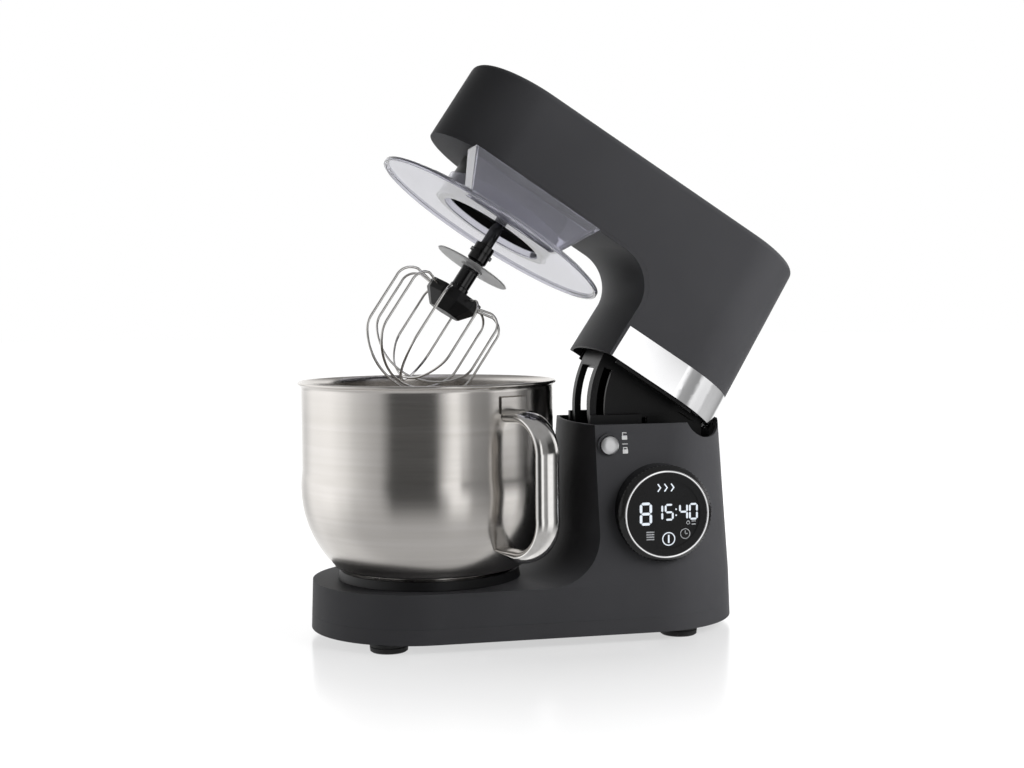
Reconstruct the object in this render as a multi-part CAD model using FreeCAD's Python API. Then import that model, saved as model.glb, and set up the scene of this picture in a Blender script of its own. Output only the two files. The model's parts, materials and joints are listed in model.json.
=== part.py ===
import FreeCAD, Part
import math
import os

V = FreeCAD.Vector
X = V(1, 0, 0)
Y = V(0, 1, 0)
Z = V(0, 0, 1)

# Stand mixer with a tilting head. Sizes in millimetres.
# While modelling, the bowl's axis is x = y = 0, the table is z = 0, the nose points to -X
# and the display faces -Y. The head is modelled closed and swung open at the end.

# Walls and clearances
WALL = 3.0
RUN = 0.05
FREE = 0.4
SEAT = 0.1

# Foot and deck
BASE_HALF = 95.0
BASE_FRONT = -105.5
BASE_REAR = 279.0
BASE_DRAFT = 1.5
FOOT_HEIGHT = 7.8
SEAM_Z = 21.0
DECK_Z = 50.3
TRAY_FLOOR = 2.5
FOOT_R = 17.0
FOOT_STEM_R = 5.0
FOOT_FRONT_X = -47.0
FOOT_REAR_X = 211.0
FOOT_Y = 69.5

# Column
HEAD_HALF = 65.5
COLUMN_TOP = 186.5
COLUMN_FRONT = 126.7
COLUMN_LEAN = 4.5
COLUMN_FILLET = 48.0
FRONT_BOW_R = 230.0
REAR_X = 269.5
REAR_LEAN = 3.4

# Head, closed
OPEN_ANGLE = 33.4
HINGE_X = 244.8
HINGE_Z = 197.0
NECK_GAP = 1.5
BAND_HEIGHT = 30.5
NOSE_X = -90.5
UNDERSIDE_Z = 272.0
HEAD_TOP_Z = 350.8
HEAD_TOP_AT_X = 200.0
TOP_SLOPE = 0.8
TOP_EDGE_R = 6.0
NECK_FRONT = 127.5
NECK_FILLET = 36.0
COVER_SPLIT_X = 70.0
BAND_WALL = 2.0

# Hinge
PIN_R = 5.0
BUSH_WALL = 2.0
YOKE_HALF = 30.0
YOKE_PLATE = 4.0
YOKE_R = 103.0
YOKE_RAIL = 6.0
YOKE_SLOT = 8.0
YOKE_STRIP = 9.0
YOKE_TAIL = 13.0
YOKE_ROOM_END = 40.0
REAR_LIP_R = 24.3
BRIDGE_Z = 204.0
BRIDGE_T = 5.0
EAR_T = 6.0
EAR_HALF_X = 9.0
EAR_FRONT_X = 48.0
EAR_REAR_X = 4.0
RAIL_T = 6.0
RAIL_FRONT = 13.5
COLLAR_LENGTH = 48.0
CARRIER_Z = 152.0
CARRIER_T = 4.0
COLLAR_TOP = 193.0

# Release button
BUTTON_X = 148.0
BUTTON_Z = 169.0
BUTTON_R = 8.0
BUTTON_PROUD = 5.0
BUTTON_TRAVEL = 4.0
BEZEL_W = 2.0
BOLT_R = 3.0
SPRING_WIRE_R = 0.6
SPRING_TURNS = 5

# Display and dial
DIAL_X = 191.4
DIAL_Z = 110.5
DIAL_R = 38.0
DIAL_SKIRT_R = 42.0
DIAL_DEPTH = 6.8
PEDESTAL_PROUD = 1.04
TRIM_W = 1.6
TRIM_T = 2.0
STEM_R = 33.0
STEM_WALL = 2.5
LENS_T = 2.0
BOARD_T = 1.6

# Screws
SCREW_R = 1.8
SCREW_HEAD_R = 3.6
BOSS_R = 4.5
SCREW_INSET = 40.0

# Cord inlet
GLAND_Z = 34.0
GLAND_R = 7.0

# Bowl
BOWL_RIM_R = 115.0
BOWL_R = 111.8
BOWL_RIM_Z = 225.8
BOWL_BASE_R = 84.5
BOWL_BASE_Z = 61.5
BOWL_STRAIGHT_Z = 148.0
BOWL_WALL = 1.2
RIM_H = 4.0
SOCKET_WALL = 4.7
SOCKET_H = 8.0
SOCKET_RIM = 12.0
SOCKET_FLOOR = 18.0
BOWL_FOOT_R = 72.0
BOWL_FOOT_WALL = 2.5
LUG_COUNT = 4
LUG_SPAN = 24.0
LUG_REACH = 4.0
LUG_FREE = 0.8
LUG_T = 2.4
BOWL_TWIST = 34.0
HANDLE_AZIMUTH = -60.0
HANDLE_REACH = 45.2
HANDLE_W = 25.0
HANDLE_T = 11.0
HANDLE_TOP_Z = 204.5
TAB_W = 27.0
TAB_T = 1.6
TAB_RISE = 11.0
TAB_DROP = 4.0
HANDLE_BOTTOM_Z = 74.0

# Gear train
MODULE = 1.5
RING_TEETH = 60
PLANET_TEETH = 20
MAIN_TEETH = 56
PINION_TEETH = 14
TOOTH_FILL = 0.40
RING_Z = 255.0
RING_T = 10.0
MAIN_Z = 293.0
MAIN_T = 8.0
SHAFT_R = 6.0
COUNTER_R = 4.0
PLATE_Z = 278.0
PLATE_T = 5.0
BEARING_T = 6.0
BELT_Z = 306.0
BELT_WIDTH = 10.0
BELT_T = 2.0
BIG_PULLEY_R = 36.0
SMALL_PULLEY_R = 9.0
COLLAR_R = 55.0
COLLAR_WALL = 3.5
COLLAR_Z = 238.0
CARRIER_DISC_T = 8.0

# Motor
MOTOR_X = 190.0
MOTOR_R = 35.0
MOTOR_Z = 226.0
MOTOR_H = 66.0
ARMATURE_R = 19.0
AIR_GAP = 1.0
FAN_R = 29.0
FAN_T = 7.0
FAN_BLADES = 9

# Splash guard
GUARD_R = 112.0
GUARD_Z = 231.0
GUARD_T = 2.2
GUARD_HOLE_R = 49.0
CHUTE_TOP_HALF = 63.0
CHUTE_BOTTOM_HALF = 45.0
CHUTE_TOP_Z = 265.0
CHUTE_IN_Y = -69.0
CHUTE_OUT_Y = -100.0
CHUTE_FLARE_Y = 6.0

# Whisk
TOOL_R = 5.5
SLEEVE_R = 8.0
SLEEVE_COLLAR_R = 9.0
SLEEVE_TOP = 211.0
SLEEVE_COLLAR_H = 16.0
DISC_Z = 188.5
DISC_R = 35.0
DISC_T = 1.4
HUB_TOP = 163.0
HUB_H = 21.0
HUB_R = 24.0
HUB_LOW_R = 14.0
HUB_RIM_H = 9.0
WIRE_R = 1.15
WIRE_LOOPS = 5
WIRE_SHOULDER_R = 47.0
WIRE_MAX_R = 52.0
WIRE_BOTTOM = 67.5
WIRE_BELLY_H = 38.0
WIRE_CORNER_R = 22.0
WIRE_STEP = 2.8
TOOL_PIN_R = 1.8

# Values that follow from the sizes above
NECK_BOTTOM = COLUMN_TOP + NECK_GAP
BAND_TOP = NECK_BOTTOM + BAND_HEIGHT
ORBIT = MODULE * (RING_TEETH - PLANET_TEETH) / 2
COUNTER_X = MODULE * (MAIN_TEETH + PINION_TEETH) / 2
RING_ROOT_R = MODULE * (RING_TEETH / 2 + 1.25)
COLLAR_BORE = COLLAR_R - COLLAR_WALL
BOWL_SEAT_Z = DECK_Z + 2.0
LUG_Z = BOWL_SEAT_Z + FREE
TOOL_AT = V(0, -ORBIT, 0)
NOSE_C = NOSE_X + HEAD_HALF
SIDE_SLOPE = (BASE_HALF - BASE_DRAFT - HEAD_HALF) / (COLUMN_TOP - DECK_Z)
PEDESTAL_Y = -HEAD_HALF - SIDE_SLOPE * (COLUMN_TOP - DIAL_Z + DIAL_SKIRT_R) - PEDESTAL_PROUD
DIAL_FRONT_Y = PEDESTAL_Y - FREE - DIAL_DEPTH
LIP_R = BOWL_FOOT_R + LUG_FREE
POCKET_R = LIP_R + LUG_REACH
SOCKET_R = POCKET_R + SOCKET_WALL


def box(x0, x1, y0, y1, z0, z1):
    return Part.makeBox(x1 - x0, y1 - y0, z1 - z0, V(x0, y0, z0))


def rod(r, h, at, axis=Z):
    return Part.makeCylinder(r, h, at, axis)


def tube(r_out, r_in, h, at, axis=Z):
    return rod(r_out, h, at, axis).cut(rod(r_in, h, at, axis))


def polygon_face(points):
    return Part.Face(Part.makePolygon(points + [points[0]]))


def turned(profile, centre=V(0, 0, 0)):
    """Solid of revolution about Z from (radius, z) points."""
    face = polygon_face([V(r, 0, z) for r, z in profile])
    solid = face.revolve(V(0, 0, 0), Z, 360)
    solid.translate(centre)
    return solid


def fused(shapes):
    result = shapes[0]
    for shape in shapes[1:]:
        result = result.fuse(shape)
    return result.removeSplitter()


def corner(at, dir_a, dir_b, radius):
    """Tangent point, middle and tangent point of a rounded corner."""
    half = dir_a.getAngle(dir_b) / 2
    reach = radius / math.tan(half)
    middle_dir = (dir_a + dir_b).normalize()
    centre = at + middle_dir * (radius / math.sin(half))
    return at + dir_a * reach, centre - middle_dir * radius, at + dir_b * reach


def stadium(front, rear, half, rear_r, z):
    """Closed outline with a half-round front and two rounded rear corners."""
    nose_c = front + half
    rear_c = rear - rear_r
    side = half - rear_r
    slant = rear_r * math.sqrt(0.5)
    edges = [
        Part.makeLine(V(nose_c, -half, z), V(rear_c, -half, z)),
        Part.Arc(V(rear_c, -half, z), V(rear_c + slant, -side - slant, z), V(rear, -side, z)).toShape(),
        Part.makeLine(V(rear, -side, z), V(rear, side, z)),
        Part.Arc(V(rear, side, z), V(rear_c + slant, side + slant, z), V(rear_c, half, z)).toShape(),
        Part.makeLine(V(rear_c, half, z), V(nose_c, half, z)),
        Part.Arc(V(nose_c, half, z), V(front, 0, z), V(nose_c, -half, z)).toShape(),
    ]
    return Part.Wire(edges)


def rear_at(z):
    return REAR_X - (z - NECK_BOTTOM) * math.tan(math.radians(REAR_LEAN))


def head_section(z, inset):
    half = HEAD_HALF - inset
    return stadium(NOSE_X + inset, rear_at(z) - inset, half, half - 1.5, z)


def head_block(z0, z1, inset=0.0):
    return Part.makeLoft([head_section(z0, inset), head_section(z1, inset)], True, True)


def base_section(z, inset):
    draft = BASE_DRAFT * (z - FOOT_HEIGHT) / (DECK_Z - FOOT_HEIGHT)
    half = BASE_HALF - draft - inset
    return stadium(BASE_FRONT + draft + inset, BASE_REAR - draft - inset, half, half - 1.5, z)


def front_cutter(front, lean, flat_z, far_z, fillet):
    """Bowed block in front of a column: flat on one side, hollow fillet, leaning face."""
    axis_x = front + FRONT_BOW_R
    up = 1.0 if far_z > flat_z else -1.0
    run = abs(far_z - flat_z)
    tilt = math.tan(math.radians(lean))
    foot = V(front - run * tilt, 0, flat_z)
    far = V(front, 0, far_z)
    reach = V(NOSE_X - 2 * BASE_HALF, 0, 0)
    along_face = (far - foot).normalize()
    low, mid, high = corner(foot, V(-1, 0, 0), along_face, fillet)
    edges = [
        Part.makeLine(V(reach.x, 0, flat_z), low),
        Part.Arc(low, mid, high).toShape(),
        Part.makeLine(high, far + along_face * WALL),
        Part.makeLine(far + along_face * WALL, V(reach.x, 0, far_z + up * WALL)),
        Part.makeLine(V(reach.x, 0, far_z + up * WALL), V(reach.x, 0, flat_z)),
    ]
    face = Part.Face(Part.Wire(edges))
    sweep = 50.0
    face.rotate(V(axis_x, 0, 0), Z, -sweep / 2)
    return face.revolve(V(axis_x, 0, 0), Z, sweep)


def top_plane_cut(drop):
    """Everything above the sloping top of the head, lowered by drop."""
    slope = math.tan(math.radians(TOP_SLOPE))
    left = NOSE_X - 50
    right = REAR_X + 50
    z_left = HEAD_TOP_Z - drop + (left - HEAD_TOP_AT_X) * slope
    z_right = HEAD_TOP_Z - drop + (right - HEAD_TOP_AT_X) * slope
    high = HEAD_TOP_Z + 60
    y = 2 * HEAD_HALF
    face = polygon_face([V(left, -y, z_left), V(right, -y, z_right), V(right, -y, high), V(left, -y, high)])
    return face.extrude(V(0, 2 * y, 0))


# Housing of foot and column

def column_block(inset, floor_z, top_z):
    """Column that narrows from the deck's outline to the head's outline."""
    low = base_section(DECK_Z, inset)
    high = stadium(NOSE_X + inset, REAR_X - inset, HEAD_HALF - inset, HEAD_HALF - inset - 1.5, COLUMN_TOP)
    block = Part.makeLoft([low, high], True, True)
    cutter = front_cutter(COLUMN_FRONT + inset, COLUMN_LEAN, DECK_Z - inset, COLUMN_TOP, COLUMN_FILLET)
    return block.cut(cutter).common(box(-200, 400, -200, 200, floor_z, top_z))


def base_block(inset, z0, z1):
    return Part.makeLoft([base_section(z0, inset), base_section(z1, inset)], True, True)


def side_at(z):
    """Half-width of the column's side at a height."""
    return HEAD_HALF + SIDE_SLOPE * (COLUMN_TOP - z)


def screw_spots():
    """Places of the tray's screws: bosses that grow from the side walls, clear of the feet."""
    y = BASE_HALF - WALL - BOSS_R + 1.0
    front = BASE_FRONT + BASE_HALF + SCREW_INSET
    rear = FOOT_REAR_X - SCREW_INSET
    return [(front, y), (front, -y), (rear, y), (rear, -y)]


def carrier_spots():
    inner = HEAD_HALF - WALL
    return [(162, inner - 6), (162, 6 - inner), (218, inner - 8), (218, 8 - inner)]


def base_housing():
    shell = base_block(0, SEAM_Z, DECK_Z).fuse(column_block(0, DECK_Z, COLUMN_TOP)).removeSplitter()
    hollow = base_block(WALL, SEAM_Z, DECK_Z - WALL)
    hollow = hollow.fuse(column_block(WALL, DECK_Z - WALL, COLUMN_TOP))
    neck = column_block(WALL, DECK_Z, COLUMN_TOP)
    link = neck.common(box(-200, 400, -200, 200, DECK_Z, DECK_Z + 2))
    low_face = max(link.Faces, key=lambda f: f.Area if abs(f.CenterOfMass.z - DECK_Z) < 0.01 else 0)
    hollow = hollow.fuse(low_face.extrude(V(0, 0, -WALL)))
    shell = shell.cut(hollow)
    for x, y in screw_spots():
        shell = shell.fuse(rod(BOSS_R, 20, V(x, y, SEAM_Z)))
        shell = shell.cut(rod(SCREW_R + SEAT, 18, V(x, y, SEAM_Z)))
    for x, y in carrier_spots():
        shell = shell.fuse(carrier_post(x, y))
        shell = shell.cut(rod(SCREW_R + SEAT, 14, V(x, y, CARRIER_Z - 14)))
    shell = shell.cut(rod(SOCKET_R - SOCKET_RIM, 3 * WALL, V(0, 0, DECK_Z - 2 * WALL)))
    shell = shell.cut(rod(SOCKET_R + SEAT, SOCKET_H, V(0, 0, DECK_Z)))
    shell = shell.cut(rod(REAR_LIP_R + 0.6, 4 * HEAD_HALF, V(HINGE_X, -2 * HEAD_HALF, HINGE_Z), Y))
    button = V(BUTTON_X, -side_at(BUTTON_Z) - 20, BUTTON_Z)
    shell = shell.cut(rod(BUTTON_R + BEZEL_W - 0.5 + SEAT, 40, button, Y))
    dial = V(DIAL_X, -side_at(DIAL_Z) - 20, DIAL_Z)
    shell = shell.cut(rod(STEM_R + SEAT, 40, dial, Y))
    shell = shell.cut(rod(GLAND_R + SEAT, 40, V(BASE_REAR - 25, 0, GLAND_Z), X))
    return shell.removeSplitter()


def carrier_post(x, y):
    """Post that grows from the column's wall and carries the hinge frame."""
    side = 1 if y > 0 else -1
    wall_y = side * side_at(CARRIER_Z - 10)
    post = rod(BOSS_R, 20, V(x, y, CARRIER_Z - 20))
    rib = box(x - 2, x + 2, min(y, wall_y), max(y, wall_y), CARRIER_Z - 10, CARRIER_Z - 1)
    inside = column_block(1.0, DECK_Z, COLUMN_TOP)
    return post.fuse(rib).common(inside)


def base_plate():
    tray = base_block(0, FOOT_HEIGHT, SEAM_Z)
    tray = tray.cut(base_block(WALL, FOOT_HEIGHT + TRAY_FLOOR, SEAM_Z + 1))
    for x, y in screw_spots():
        tray = tray.fuse(rod(BOSS_R, SEAM_Z - FOOT_HEIGHT, V(x, y, FOOT_HEIGHT)))
        tray = tray.cut(rod(SCREW_R + SEAT, 40, V(x, y, FOOT_HEIGHT - 1)))
        tray = tray.cut(rod(SCREW_HEAD_R + SEAT, 3, V(x, y, FOOT_HEIGHT)))
    for x, y in foot_spots().values():
        tray = tray.cut(rod(FOOT_STEM_R + SEAT, 20, V(x, y, FOOT_HEIGHT - 1)))
    return tray.removeSplitter()


def foot_spots():
    return {
        "front_left_foot": (FOOT_FRONT_X, -FOOT_Y),
        "front_right_foot": (FOOT_FRONT_X, FOOT_Y),
        "rear_left_foot": (FOOT_REAR_X, -FOOT_Y),
        "rear_right_foot": (FOOT_REAR_X, FOOT_Y),
    }


def foot(x, y):
    profile = [
        (0, 0), (FOOT_R - 2, 0), (FOOT_R - 1, 1), (FOOT_R, FOOT_HEIGHT),
        (FOOT_STEM_R, FOOT_HEIGHT), (FOOT_STEM_R, FOOT_HEIGHT + TRAY_FLOOR + 0.3),
        (FOOT_STEM_R + 1.2, FOOT_HEIGHT + TRAY_FLOOR + 0.3), (FOOT_STEM_R - 1, FOOT_HEIGHT + TRAY_FLOOR + 4),
        (0, FOOT_HEIGHT + TRAY_FLOOR + 4),
    ]
    return turned(profile, V(x, y, 0))


def base_screws():
    shapes = []
    for x, y in screw_spots():
        head = rod(SCREW_HEAD_R, 2.6, V(x, y, FOOT_HEIGHT + 0.4))
        slot = box(x - 2.6, x + 2.6, y - 0.5, y + 0.5, FOOT_HEIGHT, FOOT_HEIGHT + 1.4)
        shapes.append(head.cut(slot).fuse(rod(SCREW_R, 24, V(x, y, FOOT_HEIGHT + 3))))
    return Part.makeCompound(shapes)


# Bowl socket and bowl

def sector(r_out, r_in, z0, z1, start, span):
    ring = tube(r_out, r_in, z1 - z0, V(0, 0, z0))
    big = 2 * r_out
    steps = [start, start + span / 2, start + span]
    points = [V(0, 0, z0)]
    points += [V(big * math.cos(math.radians(a)), big * math.sin(math.radians(a)), z0) for a in steps]
    return ring.common(polygon_face(points).extrude(V(0, 0, z1 - z0)))


def bowl_socket():
    spigot_r = SOCKET_R - SOCKET_RIM - SEAT
    low = DECK_Z - WALL - 1.5
    top = DECK_Z + SOCKET_H
    profile = [
        (POCKET_R - SOCKET_FLOOR, low), (spigot_r, low), (spigot_r, DECK_Z), (SOCKET_R, DECK_Z),
        (SOCKET_R - 1.5, top), (LIP_R, top), (LIP_R, LUG_Z + LUG_T + FREE),
        (POCKET_R, LUG_Z + LUG_T + FREE), (POCKET_R, BOWL_SEAT_Z), (POCKET_R - SOCKET_FLOOR, BOWL_SEAT_Z),
    ]
    ring = turned(profile)
    pitch = 360.0 / LUG_COUNT
    for k in range(LUG_COUNT):
        start = k * pitch - LUG_SPAN / 2
        gap = sector(POCKET_R, LIP_R - 1, BOWL_SEAT_Z, top + 1, start - BOWL_TWIST - 2, LUG_SPAN + 4)
        ring = ring.cut(gap)
    stops = []
    for k in range(LUG_COUNT):
        start = k * pitch + LUG_SPAN / 2 + 1.5
        stops.append(sector(POCKET_R + 1, LIP_R, BOWL_SEAT_Z - 0.5, top - 1, start, 4))
    return fused([ring] + stops)


def bowl_wall(outer):
    """Bowl outline from the centre of its floor to the rim, moved in by the wall when inner."""
    t = 0.0 if outer else BOWL_WALL
    wall_r = BOWL_R - t
    floor_z = BOWL_BASE_Z + t
    base_r = BOWL_BASE_R - t
    mid = V(base_r + (wall_r - base_r) * 0.74, 0, floor_z + (BOWL_STRAIGHT_Z - floor_z) * 0.36)
    side = V(wall_r, 0, BOWL_STRAIGHT_Z)
    top = V(wall_r, 0, BOWL_RIM_Z - RIM_H)
    return V(0, 0, floor_z), V(base_r, 0, floor_z), mid, side, top


def bowl_shell():
    centre_o, base_o, mid_o, side_o, top_o = bowl_wall(True)
    centre_i, base_i, mid_i, side_i, top_i = bowl_wall(False)
    rim_o = V(BOWL_RIM_R, 0, BOWL_RIM_Z - 2.2)
    rim_t = V(BOWL_RIM_R - 1.1, 0, BOWL_RIM_Z)
    rim_i = V(BOWL_R + 1, 0, BOWL_RIM_Z)
    edges = [
        Part.makeLine(centre_o, base_o),
        Part.Arc(base_o, mid_o, side_o).toShape(),
        Part.makeLine(side_o, top_o),
        Part.makeLine(top_o, rim_o),
        Part.makeLine(rim_o, rim_t),
        Part.makeLine(rim_t, rim_i),
        Part.makeLine(rim_i, top_i),
        Part.makeLine(top_i, side_i),
        Part.Arc(side_i, mid_i, base_i).toShape(),
        Part.makeLine(base_i, centre_i),
        Part.makeLine(centre_i, centre_o),
    ]
    return Part.Face(Part.Wire(edges)).revolve(V(0, 0, 0), Z, 360)


def bowl_foot():
    inner = BOWL_FOOT_R - BOWL_FOOT_WALL
    ring = tube(BOWL_FOOT_R, inner, BOWL_BASE_Z - LUG_Z, V(0, 0, LUG_Z))
    pitch = 360.0 / LUG_COUNT
    r = BOWL_FOOT_R + LUG_REACH
    lugs = []
    for k in range(LUG_COUNT):
        lugs.append(sector(r, inner + 1, LUG_Z, LUG_Z + LUG_T, k * pitch - LUG_SPAN / 2, LUG_SPAN))
    return fused([ring] + lugs)


def bowl_handle():
    """Flat loop that stands out from the bowl's wall, in the plane of its azimuth."""
    half = HANDLE_W / 2
    outer_r = BOWL_R + HANDLE_REACH
    touch_r = BOWL_R - 3
    top = HANDLE_TOP_Z
    low = HANDLE_BOTTOM_Z
    t = HANDLE_T
    bulge = HANDLE_REACH * 0.78
    upper = [
        V(touch_r, 0, top), V(outer_r - bulge, 0, top), V(outer_r - bulge * 0.28, 0, top - bulge * 0.36),
        V(outer_r, 0, top - bulge * 1.25),
    ]
    foot_r = BOWL_BASE_R + 3
    lower = [V(outer_r, 0, low + 46), V(outer_r - 10, 0, low + 14), V(outer_r - 32, 0, low)]
    outline = [
        Part.makeLine(upper[0], upper[1]),
        Part.Arc(upper[1], upper[2], upper[3]).toShape(),
        Part.makeLine(upper[3], lower[0]),
        Part.Arc(lower[0], lower[1], lower[2]).toShape(),
        Part.makeLine(lower[2], V(foot_r, 0, low + 8)),
        Part.makeLine(V(foot_r, 0, low + 8), V(touch_r, 0, low + 34)),
        Part.makeLine(V(touch_r, 0, low + 34), upper[0]),
    ]
    loop = Part.Face(Part.Wire(outline)).extrude(V(0, HANDLE_W, 0))
    inner_r = outer_r - t
    window = [
        Part.makeLine(V(touch_r - 20, 0, top - 7), V(outer_r - bulge, 0, top - 7)),
        Part.Arc(V(outer_r - bulge, 0, top - 7), V(inner_r - bulge * 0.24, 0, top - 7 - bulge * 0.28),
                 V(inner_r, 0, top - bulge * 1.25)).toShape(),
        Part.makeLine(V(inner_r, 0, top - bulge * 1.25), V(inner_r, 0, low + 48)),
        Part.Arc(V(inner_r, 0, low + 48), V(inner_r - 5, 0, low + 28),
                 V(inner_r - 22, 0, low + 17)).toShape(),
        Part.makeLine(V(inner_r - 22, 0, low + 17), V(touch_r - 20, 0, low + 28)),
        Part.makeLine(V(touch_r - 20, 0, low + 28), V(touch_r - 20, 0, top - 7)),
    ]
    loop = loop.cut(Part.Face(Part.Wire(window)).extrude(V(0, HANDLE_W, 0)))
    loop.translate(V(0, -half, 0))
    loop.rotate(V(0, 0, 0), Z, HANDLE_AZIMUTH)
    span = math.degrees(TAB_W / BOWL_R)
    start = HANDLE_AZIMUTH - span / 2
    tab = sector(BOWL_R + TAB_T, BOWL_R - TAB_T, top - TAB_DROP, top + TAB_RISE, start, span)
    return fused([loop, tab]).cut(bowl_solid())


def bowl_solid():
    centre_o, base_o, mid_o, side_o, top_o = bowl_wall(True)
    edges = [
        Part.makeLine(centre_o, base_o),
        Part.Arc(base_o, mid_o, side_o).toShape(),
        Part.makeLine(side_o, top_o),
        Part.makeLine(top_o, V(0, 0, top_o.z)),
        Part.makeLine(V(0, 0, top_o.z), centre_o),
    ]
    return Part.Face(Part.Wire(edges)).revolve(V(0, 0, 0), Z, 360)


# Hinge in the column's top

def hinge_carrier():
    """Frame in the column: plate on four posts, ears for the pin and collars beside the yoke."""
    inside = column_block(WALL + FREE, DECK_Z, COLUMN_TOP)
    plate = inside.common(box(0, 400, -200, 200, CARRIER_Z, CARRIER_Z + CARRIER_T))
    reach = YOKE_R + 2
    slot_half = YOKE_HALF + 1.5
    slot = box(HINGE_X - reach, HINGE_X - YOKE_ROOM_END, -slot_half, slot_half, CARRIER_Z - 1, HINGE_Z)
    parts = [plate.cut(slot)]
    ear_out = YOKE_HALF - YOKE_PLATE - FREE
    rail_in = YOKE_HALF + 4 * FREE
    for side in (-1, 1):
        y0, y1 = sorted((side * ear_out, side * (ear_out - EAR_T)))
        parts.append(box(HINGE_X - EAR_FRONT_X, HINGE_X + EAR_REAR_X, y0, y1, CARRIER_Z, HINGE_Z))
        parts.append(rod(EAR_HALF_X, EAR_T, V(HINGE_X, y0, HINGE_Z), Y))
        y0, y1 = sorted((side * rail_in, side * (rail_in + RAIL_T)))
        front = COLUMN_FRONT + RAIL_FRONT
        parts.append(box(front, HINGE_X - YOKE_ROOM_END, y0, y1, CARRIER_Z, COLUMN_TOP - 12))
        parts.append(box(front, front + COLLAR_LENGTH, y0, y1, CARRIER_Z, COLLAR_TOP))
    frame = fused(parts)
    frame = frame.cut(rod(PIN_R, 4 * HEAD_HALF, V(HINGE_X, -2 * HEAD_HALF, HINGE_Z), Y))
    frame = frame.cut(rod(BOLT_R + RUN, 2 * HEAD_HALF, V(BUTTON_X, -2 * HEAD_HALF, BUTTON_Z), Y))
    for x, y in carrier_spots():
        frame = frame.cut(rod(SCREW_R + SEAT, 20, V(x, y, CARRIER_Z - 8)))
    return frame.removeSplitter()


def carrier_screws():
    shapes = []
    for x, y in carrier_spots():
        head = rod(SCREW_HEAD_R, 2.6, V(x, y, CARRIER_Z + CARRIER_T))
        slot_z = CARRIER_Z + CARRIER_T + 1.4
        head = head.cut(box(x - 2.6, x + 2.6, y - 0.5, y + 0.5, slot_z, slot_z + 2))
        shapes.append(head.fuse(rod(SCREW_R, 14, V(x, y, CARRIER_Z + CARRIER_T - 14))))
    return Part.makeCompound(shapes)


def clip_middle(side):
    return side * (YOKE_HALF + FREE + 0.5)


def hinge_pin():
    half = YOKE_HALF + FREE + 2.2
    pin = rod(PIN_R, 2 * half, V(HINGE_X, -half, HINGE_Z), Y)
    for side in (-1, 1):
        pin = pin.cut(tube(PIN_R + 1, PIN_R - 0.8, 0.9, V(HINGE_X, clip_middle(side) - 0.45, HINGE_Z), Y))
    return pin


def pin_clips():
    clips = []
    for side in (-1, 1):
        y = clip_middle(side)
        ring = tube(PIN_R + 2.2, PIN_R - 0.7, 0.8, V(HINGE_X, y - 0.4, HINGE_Z), Y)
        clips.append(ring.cut(box(HINGE_X - 2, HINGE_X + 2, y - 1, y + 1, HINGE_Z, HINGE_Z + 20)))
    return Part.makeCompound(clips)


# Button, latch and dial

def button_face_y():
    return -side_at(BUTTON_Z)


def button_bezel():
    y = button_face_y()
    outer = BUTTON_R + BEZEL_W
    ring = tube(outer + 0.6, BUTTON_R + FREE, 2.2, V(BUTTON_X, y - 1.6, BUTTON_Z), Y)
    sleeve = tube(outer - 0.5, BUTTON_R + FREE, 12, V(BUTTON_X, y - 1.6, BUTTON_Z), Y)
    bezel = ring.fuse(sleeve).cut(column_block(0, DECK_Z, COLUMN_TOP).cut(button_bore()))
    seat = tube(outer - 0.5, BOLT_R + RUN, 2, V(BUTTON_X, y + 10.4, BUTTON_Z), Y)
    return bezel.fuse(seat).removeSplitter()


def button_bore():
    return rod(BUTTON_R + BEZEL_W - 0.5 + SEAT, 40, V(BUTTON_X, button_face_y() - 20, BUTTON_Z), Y)


def button_cap():
    y = button_face_y()
    dome = [
        (0, -BUTTON_PROUD), (BUTTON_R * 0.5, 0.7 - BUTTON_PROUD), (BUTTON_R, 2.0 - BUTTON_PROUD),
        (BUTTON_R, 3.0), (0, 3.0),
    ]
    cap = turned(dome)
    cap.rotate(V(0, 0, 0), X, -90)
    cap.translate(V(BUTTON_X, y, BUTTON_Z))
    return cap


def latch_bolt():
    y = button_face_y() + 3.0
    length = -YOKE_HALF - BUTTON_TRAVEL - 3.0 - y
    bolt = rod(BOLT_R, length, V(BUTTON_X, y, BUTTON_Z), Y)
    return bolt.fuse(rod(BOLT_R + 2.2, 2, V(BUTTON_X, y + 15.0, BUTTON_Z), Y)).removeSplitter()


def latch_spring():
    """Coil between the button's back and the bezel's seat."""
    start = button_face_y() + 3.0 + SPRING_WIRE_R
    room = 10.4 - 3.0 - 2 * SPRING_WIRE_R
    radius = BOLT_R + 2.0
    helix = Part.makeHelix(room / SPRING_TURNS, room, radius)
    section = Part.Wire(Part.makeCircle(SPRING_WIRE_R, V(radius, 0, 0), Y))
    coil = Part.Wire(helix.Edges).makePipeShell([section], True, True)
    coil.rotate(V(0, 0, 0), X, -90)
    coil.translate(V(BUTTON_X, start, BUTTON_Z))
    return coil


def dial_axis(y):
    return V(DIAL_X, y, DIAL_Z)


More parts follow.
